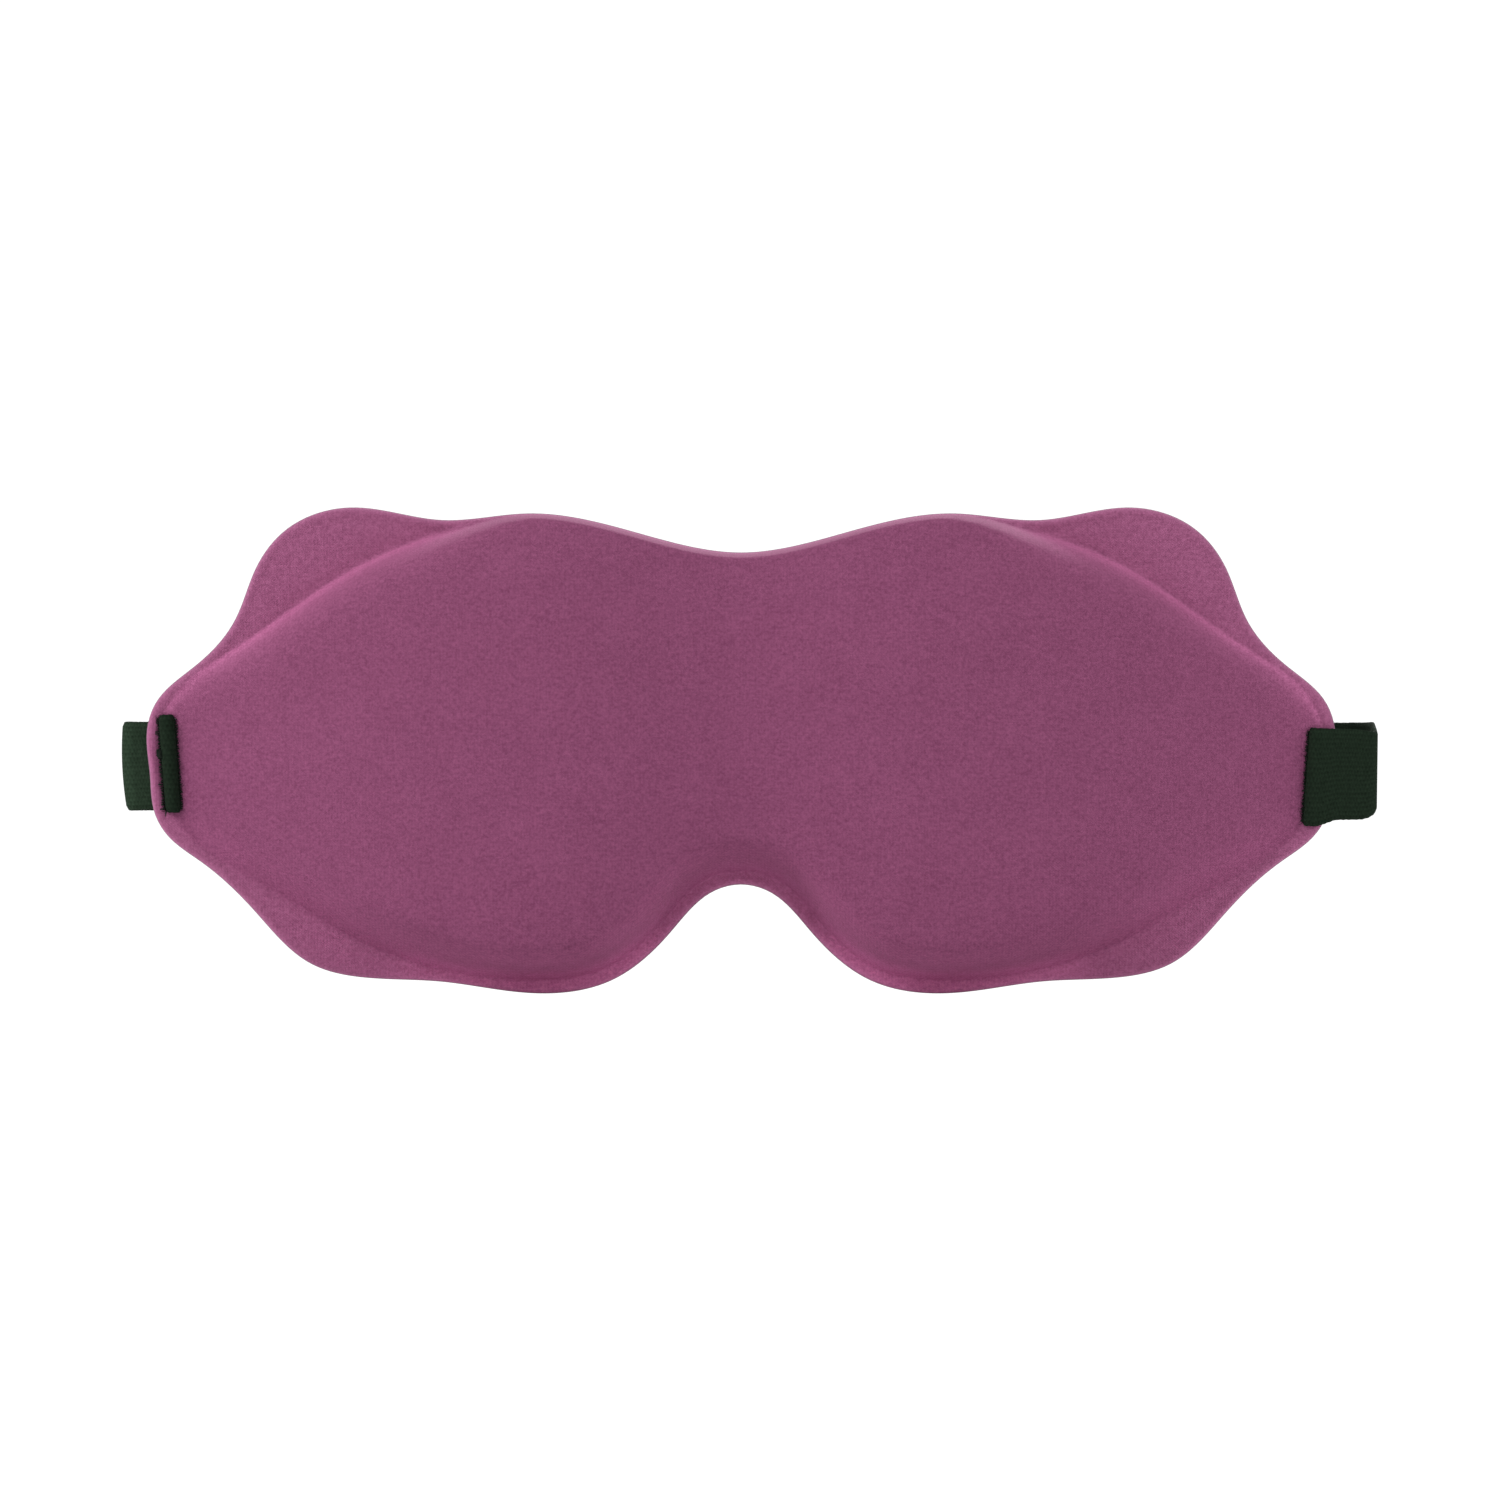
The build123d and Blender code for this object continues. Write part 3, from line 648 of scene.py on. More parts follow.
def well_rows():
    """A well's rings as (half width, half height, y), from the mouth down the wall to the rounded floor."""
    (mouth_a, mouth_b), (floor_a, floor_b) = WELL_MOUTH, WELL_FLOOR
    foot = -WELL_DEPTH + 2.4
    rows = [(mouth_a + grow, mouth_b + grow, y)
            for grow, y in [(1.2, 0.0), (0.75, 0.0), (0.35, -0.12), (0.1, -0.45), (0.0, -1.0)]]
    for k in range(1, 15):
        t = k / 14
        share = t**1.25
        rows.append((mouth_a + (floor_a - mouth_a) * share, mouth_b + (floor_b - mouth_b) * share,
                     -1.0 + (foot + 1.0) * t))
    for k in range(1, 9):
        turn = k / 9 * math.pi / 2
        shrink = 0.12 + 0.88 * math.cos(turn)
        rows.append((floor_a * shrink, floor_b * shrink, foot - 2.2 * math.sin(turn)))
    return rows


def make_lining():
    """The flat lining, quilted a little between rim and cushions, with the two eye wells."""
    count = 120
    turn = np.linspace(0, 2 * np.pi, count, endpoint=False)
    cos, sin = np.cos(turn), np.sin(turn)
    rows = well_rows()
    mouths = [np.column_stack([side * EYE_X + rows[0][0] * cos, EYE_Z + rows[0][1] * sin])
              for side in (-1, 1)]
    slits = [slit_loop(side, x, 0.0) for side, x in SLITS]
    rings = [outline_inset(OUTLINE_LOOP, r) for r in (0.25, 0.6, 1.1)]
    grid = hex_grid(1.3)
    far = clear_of_edges(grid, 1.7, 0.6)
    for mouth in mouths:
        far &= inside_distance(grid, mouth) < -0.7
    co, tris = triangulated(OUTLINE_LOOP, mouths + slits, np.concatenate(rings + [grid[far]]))
    x, z = co[:, 0], co[:, 1]
    rim = inside_distance(co, OUTLINE_LOOP)
    wing = np.clip((98 - np.abs(x)) / 14, 0, 1)
    puff = 0.55 * wing * (1 - np.exp(-((rim / 5) ** 2))) * (0.75 + 0.35 * smooth_noise(x, z, 14, 9))
    y = puff - rolled(rim, 0.5) - rolled(slit_distance(co), 0.4)
    verts = [tuple(p) for p in np.column_stack([x, y, z])]
    faces = tris.tolist()
    edge = np.zeros(len(verts) + 2 * len(rows) * count)
    # Painted sheen: paler along the lining's rim.
    edge[: len(verts)] = 0.5 * np.exp(-((rim / 0.5) ** 2))
    for side in (-1, 1):
        faces += grid_faces(len(rows), count, first=len(verts))
        for a, b, depth in rows:
            fold = 0.10 * np.sin(turn * 9 + side) * min(1.0, -depth / 6)
            ring_x, ring_z = side * EYE_X + (a + fold) * cos, EYE_Z + (b + fold) * sin
            verts += [tuple(p) for p in np.column_stack([ring_x, np.full(count, depth), ring_z])]
        faces.append(list(range(len(verts) - count, len(verts))))
    made = mesh_object("lining_with_eye_wells", verts, faces, LINING)
    attribute(made, "edge", edge)
    weld = made.modifiers.new("join wells", "WELD")
    weld.merge_threshold = 0.03 * MM
    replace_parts(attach(made, "mask"), "inner_lining")


CUSHION_HALF = 4.15  # half the padded ring's width
CUSHION_RISE = 3.475  # half its height
CUSHION_MID = (WELL_MOUTH[0] + 4.4, WELL_MOUTH[1] + 4.4)
CUSHION_STITCHES = 40


def make_cushion(side, word):
    """A padded ring, drawn in at each stitch along its outer foot and round the well's mouth."""
    around, section = 240, 36
    mid_a, mid_b = CUSHION_MID
    verts, edge = [], []
    for angle in 2 * np.pi * np.arange(around) / around:
        length = math.hypot(mid_a * math.sin(angle), mid_b * math.cos(angle))
        nx, nz = mid_b * math.cos(angle) / length, mid_a * math.sin(angle) / length
        pull = 0.5 + 0.5 * math.cos(angle * CUSHION_STITCHES + 1.0)
        soft = 0.10 * math.sin(angle * 5 + side) + 0.07 * math.sin(angle * 11 + 2 * side)
        for k in range(section):
            s = 2 * math.pi * k / section
            u, w = (math.copysign(abs(v) ** 0.72, v) for v in (math.cos(s), math.sin(s)))
            height = 0.15 + CUSHION_RISE * (1 + w)
            low = math.exp(-((height / 1.6) ** 2))
            width = CUSHION_HALF + (soft - 0.45 * pull) * low + 0.12 * soft
            verts.append((
                side * EYE_X + mid_a * math.cos(angle) + nx * width * u,
                max(0.1, height + 0.25 * soft * (1 - low)),
                EYE_Z + mid_b * math.sin(angle) + nz * width * u,
            ))
            edge.append(0.25 * low * pull)
    made = mesh_object(f"{word}_eye_cushion", verts, grid_faces(around, section, closed=True), CUSHION)
    attribute(made, "edge", edge)
    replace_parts(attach(made, "mask"), f"{word}_cushion_cover", f"{word}_cushion_foam")


def make_cushion_seam(side, word):
    """Running stitch along a cushion's outer foot."""
    a, b = (half + CUSHION_HALF + 0.35 for half in CUSHION_MID)
    lines = []
    for i in range(CUSHION_STITCHES):
        centre = (2 * math.pi * (i + 0.5) - 1.0) / CUSHION_STITCHES
        line = []
        for j in range(-3, 4):
            turn = centre + 0.30 * 2 * math.pi / CUSHION_STITCHES * j / 3
            rise = 0.42 * math.cos(j / 3 * math.pi / 2)
            line.append((side * EYE_X + a * math.cos(turn), 0.47 + rise, EYE_Z + b * math.sin(turn)))
        lines.append(line)
    made = tubes_object(f"{word}_cushion_seam", lines, 0.17, PLUM_THREAD)
    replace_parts(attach(made, "mask"), f"{word}_cushion_stitching")


make_front_cover()
make_foam_core()
make_lining()
for eye, eye_word in ((-1, "left"), (1, "right")):
    make_cushion(eye, eye_word)
    make_cushion_seam(eye, eye_word)


# ---- the strap ----

WEB_T, WEB_W = 1.1, 19.0  # three-quarter inch elastic
HALF = 8.9  # half the webbing's width where it is stretched, away from the slits
BEND_R = 1.2
LAP_Y = WEB_T / 2 + 0.25  # middle of the webbing where it lies on the lining
FRONT_LAP_Y = RIM_Y - WEB_T / 2 - 0.25  # and on the outer knit
SIDE_Y, DEPTH, BACK_R = 3.0, 70.0, 190.0
REAR_Y = SIDE_Y + DEPTH - BACK_R  # centre of the rear run's arc
RIGHT_AT, LEFT_AT = 126.65, 123.3  # where the loop's sides leave the wings
LOOP_Z = -0.45
TAIL_OFFSET = WEB_T + 0.2
HEM_STEP = WEB_T + 0.1
SWING = (1.5, 21.5)  # two distances behind the face plane; the end pieces are cut at the second
STRETCH = (21.5, 39.5)  # stays clear of the slider's travel


def arc_points(cx, cy, r, a0, a1, step=0.5):
    """Points on an arc, from and to these angles in degrees."""
    count = max(3, int(abs(math.radians(a1 - a0)) * r / step) + 1)
    t = np.radians(np.linspace(a0, a1, count))
    return np.column_stack([cx + r * np.cos(t), cy + r * np.sin(t)])


def line_points(a, b, step=0.5):
    """Points on a straight line."""
    count = max(2, int(math.dist(a, b) / step) + 1)
    return np.linspace(a, b, count)


def joined(parts):
    """Runs of points as one path, without doubled points."""
    out = [parts[0]]
    for part in parts[1:]:
        out.append(part[1:] if np.linalg.norm(part[0] - out[-1][-1]) < 1e-3 else part)
    return np.concatenate(out)


def corner(half_width):
    """Centre x, radius and end angle of the arc from a side of the loop to the rear run."""
    r = (2 * BACK_R * DEPTH - half_width**2 - DEPTH**2) / (2 * (BACK_R - half_width))
    cx = half_width - r
    return cx, r, math.degrees(math.atan2(BACK_R - DEPTH, cx))


def ribbon(name, path, bottom, top, lean=None, painted_light_tone=None, bow=None, columns=20):
    """Webbing along a path in the XY plane. At each point of the path, bottom and top are the edges'
    heights, lean is the shift along x per millimetre of height, bow is the shift of both edges along
    x, and the painted-light factor makes the band lighter where it is lit and darker where it is in shade."""
    p = np.asarray(path, float)
    n = len(p)
    lean = np.zeros(n) if lean is None else lean
    painted_light_tone = np.ones(n) if painted_light_tone is None else painted_light_tone
    bow = np.zeros(n) if bow is None else bow
    tangent = np.gradient(p, axis=0)
    tangent /= np.linalg.norm(tangent, axis=1)[:, None]
    normal = np.column_stack([tangent[:, 1], -tangent[:, 0]])
    s = lengths(p)
    section = [(k / columns, 1.0) for k in range(columns + 1)]
    section += [(share, -1.0) for share, _ in section[::-1]]
    m = len(section)
    verts, along, across = [], [], []
    for i in range(n):
        width = top[i] - bottom[i]
        middle = (top[i] + bottom[i]) / 2
        ragged = 0.05 * math.sin(s[i] * 2 * math.pi / 1.2)
        for share, face in section:
            near = min(share, 1 - share) * width
            half = WEB_T / 2 * min(1.0, 0.45 + 0.75 * math.sqrt(min(1.0, near / 1.0)))
            cord = 0.035 * math.cos(2 * math.pi * share * WEB_W / CORD)
            offset = face * (half + (cord if near > 0.5 else 0))
            z = bottom[i] + share * width + (ragged if share in (0.0, 1.0) else 0)
            shift = lean[i] * (z - middle) + bow[i] * (2 * share - 1) ** 2
            verts.append((p[i][0] + normal[i][0] * offset + shift, p[i][1] + normal[i][1] * offset, z))
            along.append(s[i])
            across.append(share * WEB_W)
    made = mesh_object(name, verts, grid_faces(n, m) + end_caps(n, m), WEBBING)
    attribute(made, "along", along)
    attribute(made, "across", across)
    attribute(made, "painted_light_tone", np.repeat(painted_light_tone, m))
    return made


def cut_at_y(path, y, from_start):
    """The part of a path before or after it first rises past a given y, with a point exactly there."""
    for i in range(1, len(path)):
        if (path[i - 1][1] - y) * (path[i][1] - y) <= 0 and path[i][1] > path[i - 1][1]:
            t = (y - path[i - 1][1]) / (path[i][1] - path[i - 1][1])
            mid = path[i - 1] + t * (path[i] - path[i - 1])
            if from_start:
                return np.vstack([path[:i], mid])
            return np.vstack([mid, path[i:]])
    raise ValueError("the path doesn't cross that y")


def blend_values(path, keys):
    """Values at each point of a path, from (length, value) keys with their corners eased."""
    s = lengths(path)
    reach = np.linspace(-1.6, 1.6, 9)
    return np.mean([np.interp(s + r, [k for k, _ in keys], [v for _, v in keys]) for r in reach], 0)


RIGHT_CX, RIGHT_R, RIGHT_JOIN = corner(RIGHT_AT)
LEFT_CX, LEFT_R, LEFT_JOIN = corner(LEFT_AT)


def right_path():
    """From the sewn end on the lining, through the slit, over the front and round the head."""
    in_y, out_y = LAP_Y - BEND_R, FRONT_LAP_Y + BEND_R
    turn_r = 2.4
    return joined([
        line_points((RIGHT_SLIT - BEND_R - 13, LAP_Y), (RIGHT_SLIT - BEND_R, LAP_Y)),
        arc_points(RIGHT_SLIT - BEND_R, in_y, BEND_R, 90, 0, 0.25),
        line_points((RIGHT_SLIT, in_y), (RIGHT_SLIT, out_y), 0.25),
        arc_points(RIGHT_SLIT + BEND_R, out_y, BEND_R, 180, 270, 0.25),
        line_points((RIGHT_SLIT + BEND_R, FRONT_LAP_Y), (RIGHT_AT - turn_r, FRONT_LAP_Y)),
        arc_points(RIGHT_AT - turn_r, FRONT_LAP_Y + turn_r, turn_r, -90, 0, 0.3),
        line_points((RIGHT_AT, FRONT_LAP_Y + turn_r), (RIGHT_AT, SIDE_Y)),
        arc_points(RIGHT_CX, SIDE_Y, RIGHT_R, 0, RIGHT_JOIN),
    ])


def length_to(path, test):
    """Length along a path to its first point that passes a test."""
    s = lengths(path)
    return s[next(i for i, p in enumerate(path) if test(p))]


def blend_bodies(made):
    """Bakes a band's placement into its mesh."""
    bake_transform(made)


def make_right_end():
    """The sewn end, the lap over the front and the start of the right side. Returns its mid height."""
    path = right_path()
    at_slit = length_to(path, lambda p: p[0] >= RIGHT_SLIT - 0.01)
    at_front = length_to(path, lambda p: p[1] <= FRONT_LAP_Y + 0.01)
    at_fold = length_to(path, lambda p: p[0] >= RIGHT_AT - 0.05)
    bottom = blend_values(path, [
        (0, -11.1), (at_slit, -12.15), (at_front + 2.3, -12.6), (at_front + 3.2, -11.2),
        (at_fold - 2.3, -11.1), (at_fold - 0.2, -9.4), (at_fold + 2, -9.3), (at_fold + 16, -9.6),
        (at_fold + 60, -9.35),
    ])
    top = blend_values(path, [
        (0, 7.9), (at_slit, 7.3), (at_front + 3, 7.1), (at_fold - 4, 6.9), (at_fold - 1, 6.3),
        (at_fold + 2, 7.3), (at_fold + 7, 8.4), (at_fold + 16, 8.3), (at_fold + 60, 8.45),
    ])
    slant = math.tan(SLIT_SLANT)
    lean = blend_values(path, [(0, slant), (at_front, slant), (at_fold - 2, 0.02), (at_fold + 5, 0)])
    end = cut_at_y(path, SWING[1], True)
    n = len(end)
    made = ribbon("webbing_right_end", end, bottom[:n], top[:n], lean[:n])
    blend_bodies(made)
    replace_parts(made, "strap_right_anchor", "strap_right_side")
    return (bottom[n - 1] + top[n - 1]) / 2


def left_path():
    """From the rear run's side round the wing's edge, out and in through the slits."""
    bend = (OUTER_SLIT - LEFT_SLIT) / 2 - 0.03
    in_y, out_y = LAP_Y - bend, FRONT_LAP_Y + bend
    turn_r = 2.0
    inner_start = SIDE_Y + tail_rise()
    return joined([
        arc_points(-LEFT_CX, SIDE_Y, LEFT_R, 180 - LEFT_JOIN, 180),
        line_points((-LEFT_AT, SIDE_Y), (-LEFT_AT, LAP_Y + turn_r)),
        arc_points(-LEFT_AT + turn_r, LAP_Y + turn_r, turn_r, 180, 270, 0.3),
        line_points((-LEFT_AT + turn_r, LAP_Y), (-OUTER_SLIT - bend, LAP_Y)),
        arc_points(-OUTER_SLIT - bend, in_y, bend, 90, 0, 0.25),
        line_points((-OUTER_SLIT, in_y), (-OUTER_SLIT, out_y), 0.25),
        arc_points(-OUTER_SLIT + bend, out_y, bend, 180, 270, 0.25),
        line_points((-OUTER_SLIT + bend, FRONT_LAP_Y), (-LEFT_SLIT - bend, FRONT_LAP_Y), 0.2),
        arc_points(-LEFT_SLIT - bend, out_y, bend, -90, 0, 0.25),
        line_points((-LEFT_SLIT, out_y), (-LEFT_SLIT, inner_start)),
    ])


TAIL_R, TAIL_TURN = LEFT_R - TAIL_OFFSET, 16.0


def tail_rise():
    """How far the tail runs straight back from the inner slit before it turns."""
    across = -LEFT_SLIT + TAIL_TURN + LEFT_CX
    return math.sqrt((TAIL_R - TAIL_TURN) ** 2 - across**2)


def tail_path():
    """The tail from the inner slit back along the inside of the loop to its hemmed end."""
    across, rise = -LEFT_SLIT + TAIL_TURN + LEFT_CX, tail_rise()
    meet = math.degrees(math.atan2(rise, across))
    radius = BACK_R - TAIL_OFFSET
    end, hem = 95.0, 3.1
    fold = math.radians(end)
    middle = radius - HEM_STEP / 2
    fold_x, fold_y = middle * math.cos(fold), REAR_Y + middle * math.sin(fold)
    return joined([
        line_points((-LEFT_SLIT, SIDE_Y), (-LEFT_SLIT, SIDE_Y + rise)),
        arc_points(-LEFT_SLIT + TAIL_TURN, SIDE_Y + rise, TAIL_TURN, 180, meet),
        arc_points(-LEFT_CX, SIDE_Y, TAIL_R, meet, 180 - LEFT_JOIN),
        arc_points(0, REAR_Y, radius, 180 - LEFT_JOIN, end),
        arc_points(fold_x, fold_y, HEM_STEP / 2, end, end - 180, 0.15),
        arc_points(0, REAR_Y, radius - HEM_STEP, end, end + hem),
    ])


def make_left_end():
    """The end of the left side, its pass out and in through the two slits, and the tail's start."""
    path = cut_at_y(left_path(), SWING[1], True)
    path = cut_at_y(path[::-1], SWING[1], True)[::-1]
    out = length_to(path, lambda p: p[1] <= LAP_Y + 0.05)
    front = length_to(path, lambda p: p[1] <= FRONT_LAP_Y + 0.01)
    back = next(s for s, p in zip(lengths(path), path) if s > front + 2 and p[1] >= LAP_Y)
    middle = blend_values(path, [(0, LOOP_Z), (out, -0.4), (front, 0.1), (front + 1.5, 0.1),
                                 (back + 16, LOOP_Z)])
    half = blend_values(path, [(0, HALF), (out - 8, HALF), (out + 1, 8.7), (out + 5, 8.75), (front - 1, 9.8),
                               (front + 1.6, 9.8), (back + 3, 9.0), (back + 8, HALF)])
    # Painted light and shade: the outer left run is painted lighter and the tab on the front darker.
    painted_light_tone = blend_values(path, [(0, 1.0), (out - 8, 1.9), (out + 4, 1.9), (front - 1, 0.9), (back, 0.9),
                               (back + 10, 1)])
    bow = blend_values(path, [(0, 0), (out - 14, 0.3), (out - 4, 0.6), (out + 1, 0.4), (front, 0)])
    slant = -math.tan(SLIT_SLANT)
    lean = blend_values(path, [(0, 0), (out - 12, 0.4 * slant), (out, 0.75 * slant), (front, 1.2 * slant),
                               (front + 1.6, 0.9 * slant), (back + 1, slant), (back + 15, 0)])
    made = ribbon("webbing_left_end", path, middle - half, middle + half, lean, painted_light_tone, bow)
    blend_bodies(made)
    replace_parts(made, "strap_left_anchor", "strap_left_side")


def make_rear(right_middle):
    """The rear run, which starts at the right end's mid height, and inside it the tail."""
    path = joined([
        cut_at_y(arc_points(RIGHT_CX, SIDE_Y, RIGHT_R, 0, RIGHT_JOIN), STRETCH[0], False),
        arc_points(0, REAR_Y, BACK_R, RIGHT_JOIN, 180 - LEFT_JOIN, 0.8),
        cut_at_y(arc_points(-LEFT_CX, SIDE_Y, LEFT_R, 180, 180 - LEFT_JOIN), STRETCH[0], False)[::-1],
    ])
    middle = np.interp(lengths(path), [0, 30], [right_middle, LOOP_Z])
    made = ribbon("webbing_rear_run", path, middle - HALF, middle + HALF)
    blend_bodies(made)
    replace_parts(made, "strap_rear_run")
    path = cut_at_y(tail_path(), STRETCH[0], False)
    middle = np.full(len(path), LOOP_Z)
    made = ribbon("webbing_tail", path, middle - HALF, middle + HALF)
    blend_bodies(made)
    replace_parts(made, "strap_tail")


make_rear(make_right_end())
make_left_end()


# ---- hardware and sewing ----


def make_slider():
    """The tri-glide from its CAD shape, with every moulded edge rounded over."""
    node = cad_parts["strap_slider"]
    work = bmesh.new()
    work.from_mesh(node.data)
    work.transform(node.matrix_world)
    bmesh.ops.remove_doubles(work, verts=work.verts, dist=0.01 * MM)
    bmesh.ops.dissolve_limit(work, angle_limit=math.radians(4), verts=work.verts, edges=work.edges)
    mesh = bpy.data.meshes.new("tri_glide")
    work.to_mesh(mesh)
    work.free()
    mesh.materials.append(PLASTIC)
    mesh.shade_smooth()
    made = linked("tri_glide", mesh)
    bevel = made.modifiers.new("moulded edges", "BEVEL")
    bevel.width = 0.35 * MM
    bevel.segments = 3
    bevel.limit_method = "ANGLE"
    bevel.angle_limit = math.radians(40)
    bevel.harden_normals = True
    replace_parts(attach(made, "slider"), "strap_slider")


def bar_tack(name, node, rows, spot, body, count=10, pitch=1.7):
    """Rows of lock stitches across the webbing. spot(row, height) gives a point on its surface and
    the outward normal."""
    lines = []
    for row in rows:
        for i in range(count):
            low = (i - count / 2) * pitch + 0.15
            line = []
            for j in range(6):
                share = j / 5
                point, normal = spot(row, low + (pitch - 0.3) * share - 0.6)
                rise = 0.16 * math.sin(math.pi * share) - 0.02
                line.append(np.asarray(point) + np.asarray(normal) * rise)
            lines.append(line)
    made = tubes_object(name, lines, 0.17, DARK_THREAD)
    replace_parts(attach(made, body), node)


def end_spot(row, height):
    """A spot on the sewn end, row being its x."""
    x = row + math.tan(SLIT_SLANT) * height
    return (x, LAP_Y + WEB_T / 2 + 0.08, height - 1.2), (0, 1, 0)


def hem_spot(row, height):
    """A spot on the tail's hem, row being its angle past the loop's middle."""
    radius = BACK_R - TAIL_OFFSET - HEM_STEP - WEB_T / 2 - 0.08
    a = math.radians(90 + row)
    return (radius * math.cos(a), REAR_Y + radius * math.sin(a), height), (-math.cos(a), -math.sin(a), 0)


def overcast(side, edge_x, away, h, reach):
    """One stitch over a slit's edge: out of the cloth, up over the webbing's side and back."""
    centre, out, up = slit_frame(side, edge_x)
    root = centre + up * h - out * away * 0.35
    tip = centre + up * (h + random.uniform(-0.2, 0.2)) + out * away * reach
    mid = (root + tip) / 2
    y = RIM_Y - 0.12
    return [(root[0], y + 0.25, root[1]), (mid[0], y - 0.16, mid[1]), (tip[0], y + 0.03, tip[1]),
            (tip[0], y + 0.3, tip[1])]


def fibre(side, edge_x, away):
    """One loose filament that lies on the cloth beside a slit."""
    centre, out, up = slit_frame(side, edge_x)
    start = centre + up * random.uniform(-SLIT_H / 2, SLIT_H / 2)
    direction = out * away * random.uniform(0.2, 1.0) + up * random.uniform(-0.7, 0.7)
    line = []
    for j in range(4):
        q = start + direction * j / 3 * random.uniform(0.8, 1.1)
        line.append((q[0], RIM_Y - 0.35 - 0.2 * math.sin(j), q[1]))
    return line


def knot(centre_x, centre_z):
    """A tight knot of thread that stands on the cloth."""
    turns = [(j, j * 0.75) for j in range(26)]
    return [(centre_x + 0.42 * math.cos(t), RIM_Y - 0.45 - 0.012 * j + 0.1 * math.sin(2.3 * t),
             centre_z + 0.5 * math.sin(1.31 * t)) for j, t in turns]


def slit_threads(side, edges, node, word, knots=(), loose=()):
    """Overcast stitches and loose fibres where the webbing passes through the slits."""
    lines, fibres = [], []
    for edge_x, away, bold in edges:
        h = -SLIT_H / 2 + 0.4
        while h < SLIT_H / 2 - 0.3:
            reach = random.uniform(0.12, 0.36) * (bold if random.random() < 0.35 else 1)
            lines.append(overcast(side, edge_x, away, h, reach))
            h += random.uniform(0.4, 0.62)
        fibres += [fibre(side, edge_x, away) for _ in range(30)]
    lines += [knot(x, z) for x, z in knots] + list(loose)
    made = tubes_object(f"{word}_slit_overcast", lines, 0.17, DARK_THREAD, 5)
    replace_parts(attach(made, "mask"), node)
    made = tubes_object(f"{word}_slit_fibres", fibres, 0.045, DARK_THREAD, 4)
    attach(made, "mask")


make_slider()
bar_tack("sewn_end_stitches", "strap_end_stitching", (100.5, 103.5, 106.5), end_spot, "mask")
bar_tack("tail_hem_stitches", "tail_hem_stitching", (5.9, 7.3), hem_spot, "strap_rear")
slit_threads(1, [(RIGHT_SLIT - SLIT_W / 2, -1, 1.2)], "right_slit_stitching", "right")
loose_end = [(-114.7, RIM_Y - 0.3, -9.0), (-114.9, RIM_Y - 0.5, -9.7), (-115.0, RIM_Y - 0.35, -10.5)]
left_edges = [(LEFT_SLIT - SLIT_W / 2, -1, 1.3), (OUTER_SLIT + SLIT_W / 2, 1, 2.4)]
slit_threads(-1, left_edges, "left_slit_stitching", "left", [(-116.25, 2.4), (-116.1, 1.8)], [loose_end])


# ---- stage, light and camera ----


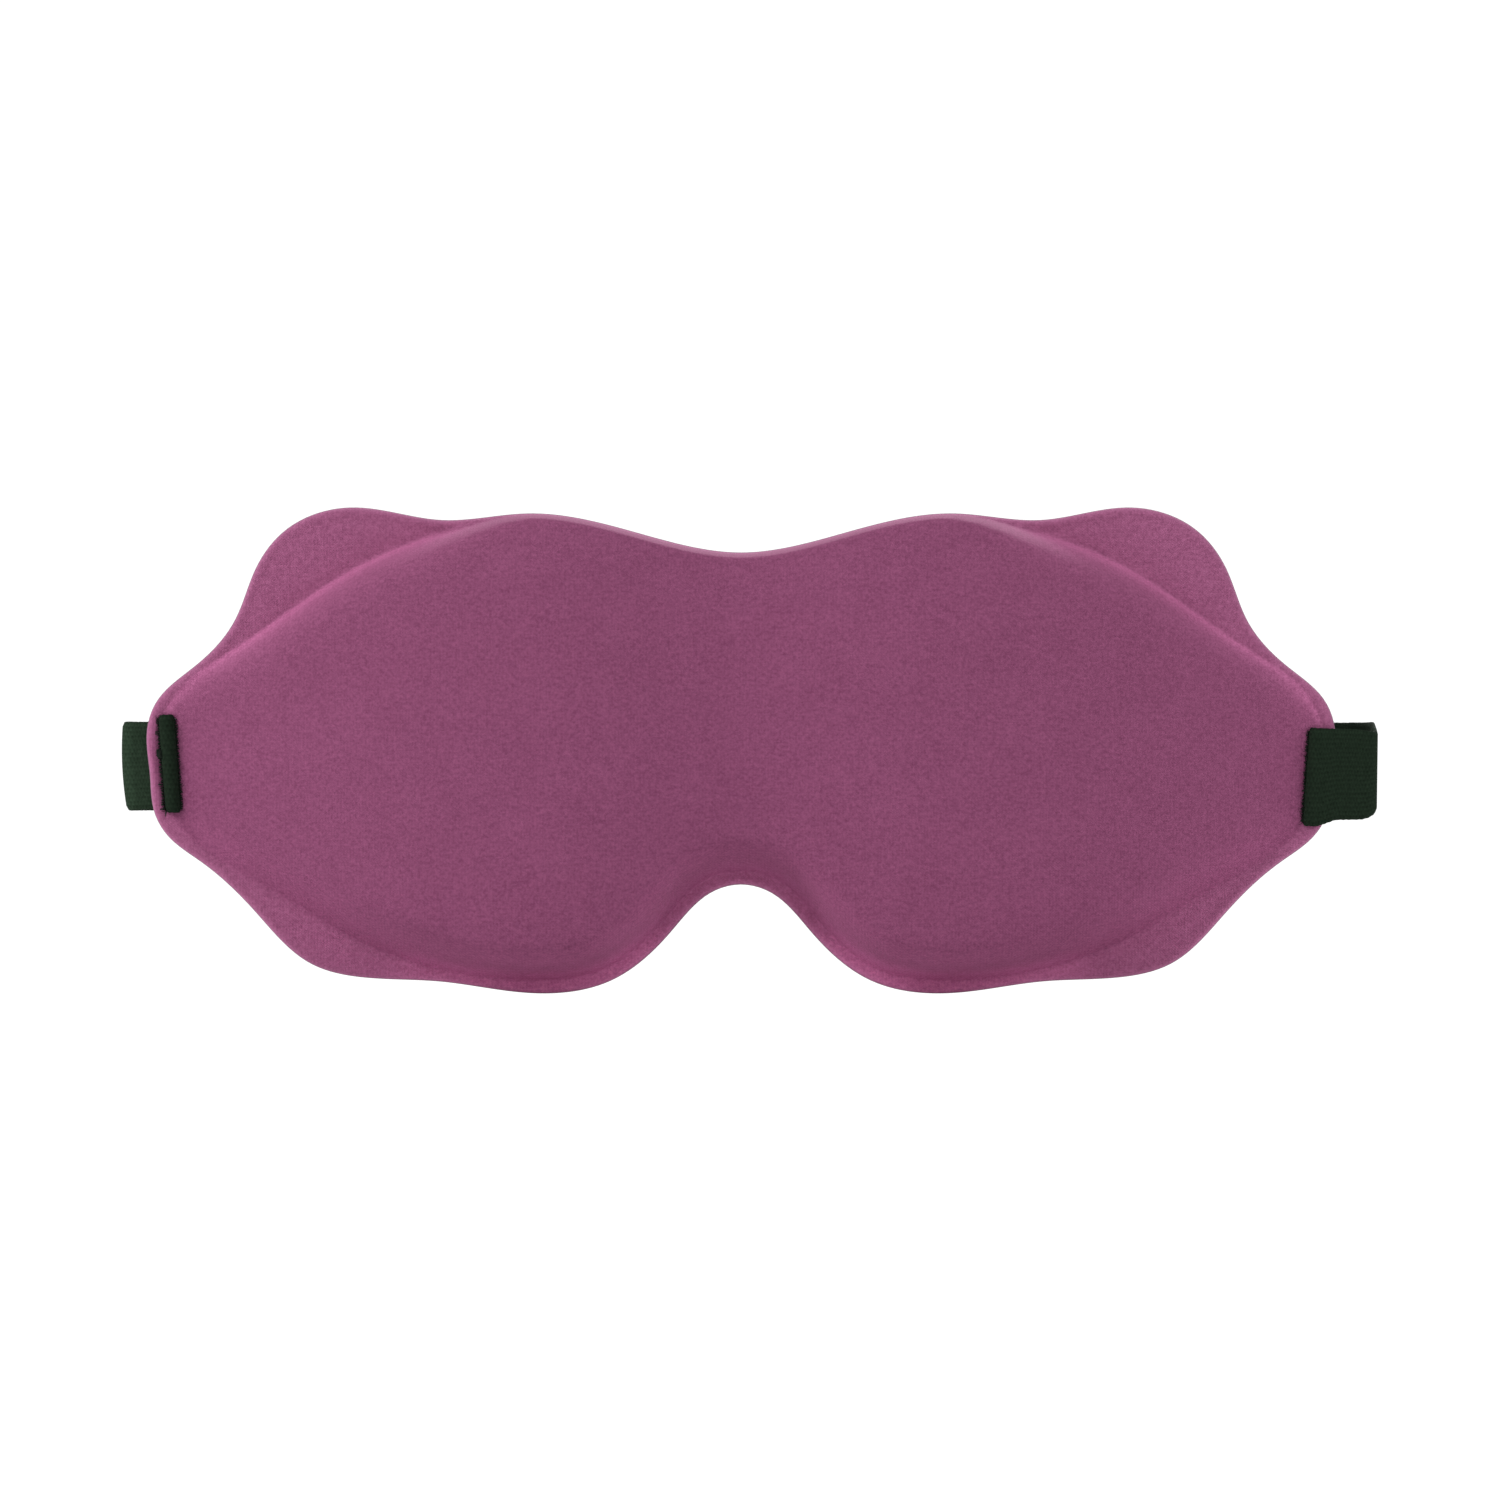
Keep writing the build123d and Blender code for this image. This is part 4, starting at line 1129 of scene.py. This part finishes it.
def floor_material():
    """Pale floor round the object that fades out to the backdrop. It reflects less than it shows."""
    n = Nodes("floor_pale")
    sight = n.add("ShaderNodeLightPath").outputs["Is Camera Ray"]
    n.fill(n.bsdf, {
        "Base Color": n.grey(n.range(sight, 0, 1, 0.8, 0.97)), "Roughness": 1.0, "Specular IOR Level": 0.0,
        "Emission Color": rgba(1, 1, 1), "Emission Strength": n.range(sight, 0, 1, 0.13, 0.25),
    })
    split = n.add("ShaderNodeSeparateXYZ", {0: n.millimetres()})
    x2, y2 = (n.math("POWER", split.outputs[axis], 2.0) for axis in "XY")
    radius = n.math("SQRT", n.math("ADD", x2, y2))
    incoming = n.add("ShaderNodeNewGeometry").outputs["Incoming"]
    facing = n.add("ShaderNodeSeparateXYZ", {0: incoming}).outputs["Z"]
    grazing = n.math("MULTIPLY", n.range(n.math("ABSOLUTE", facing), 0.03, 0.12, 1.0, 0.0), sight)
    fade = n.math("MAXIMUM", n.range(radius, 200.0, 520.0, 0.0, 1.0), grazing)
    clear = n.add("ShaderNodeBsdfTransparent").outputs[0]
    faded = n.add("ShaderNodeMixShader", {0: fade, 1: n.bsdf.outputs[0], 2: clear})
    n.fill(n.tree.nodes["Material Output"], {"Surface": faded.outputs[0]})
    return n.material


def make_floor():
    """A floor just under the mask."""
    z, size = -46.2, 600.0
    verts = [(-size, -size, z), (size, -size, z), (size, size, z), (-size, size, z)]
    mesh_object("floor", verts, [(0, 1, 2, 3)], floor_material())


def area_light(name, location, size, power):
    """A round soft light aimed at the mask."""
    light = bpy.data.lights.new(name, "AREA")
    light.shape = "DISK"
    light.size = size
    light.energy = power
    made = linked(name, light)
    made.location = location
    made.rotation_euler = (-Vector(location)).to_track_quat("-Z", "Y").to_euler()


def make_world():
    """White backdrop for the camera, dim light for everything else."""
    world = bpy.data.worlds.new("studio")
    bpy.context.scene.world = world
    world.use_nodes = True
    tree = world.node_tree
    back = tree.nodes["Background"]
    path = tree.nodes.new("ShaderNodeLightPath")
    mix = tree.nodes.new("ShaderNodeMix")
    mix.inputs[2].default_value = 0.23
    mix.inputs[3].default_value = 1.1
    tree.links.new(path.outputs["Is Camera Ray"], mix.inputs[0])
    tree.links.new(mix.outputs[0], back.inputs["Strength"])
    back.inputs["Color"].default_value = (1, 1, 1, 1)


def make_camera():
    """A long lens straight in front, as far off that it hardly shows perspective."""
    camera = bpy.data.cameras.new("camera")
    camera.sensor_width = 36
    camera.lens = 360
    camera.clip_end = 50
    made = linked("camera", camera)
    made.location = (0.0018, -3.0, 0.0028)
    made.rotation_euler = (math.pi / 2, 0, 0)
    bpy.context.scene.camera = made


# Lights and camera are placed in metres.
make_floor()
make_world()
area_light("key", (-1.08, -0.58, 0.95), 0.7, 15.2)
area_light("right_fill", (1.22, -0.42, 0.65), 0.7, 10.6)
area_light("left_rim", (-1.3, -0.35, 0.3), 0.8, 4.5)
area_light("front_fill", (0.1, -1.9, 0.05), 1.2, 5)
area_light("back_fill", (0.4, 1.5, 1.0), 1.2, 26)
make_camera()
bpy.context.scene.view_settings.view_transform = "Standard"
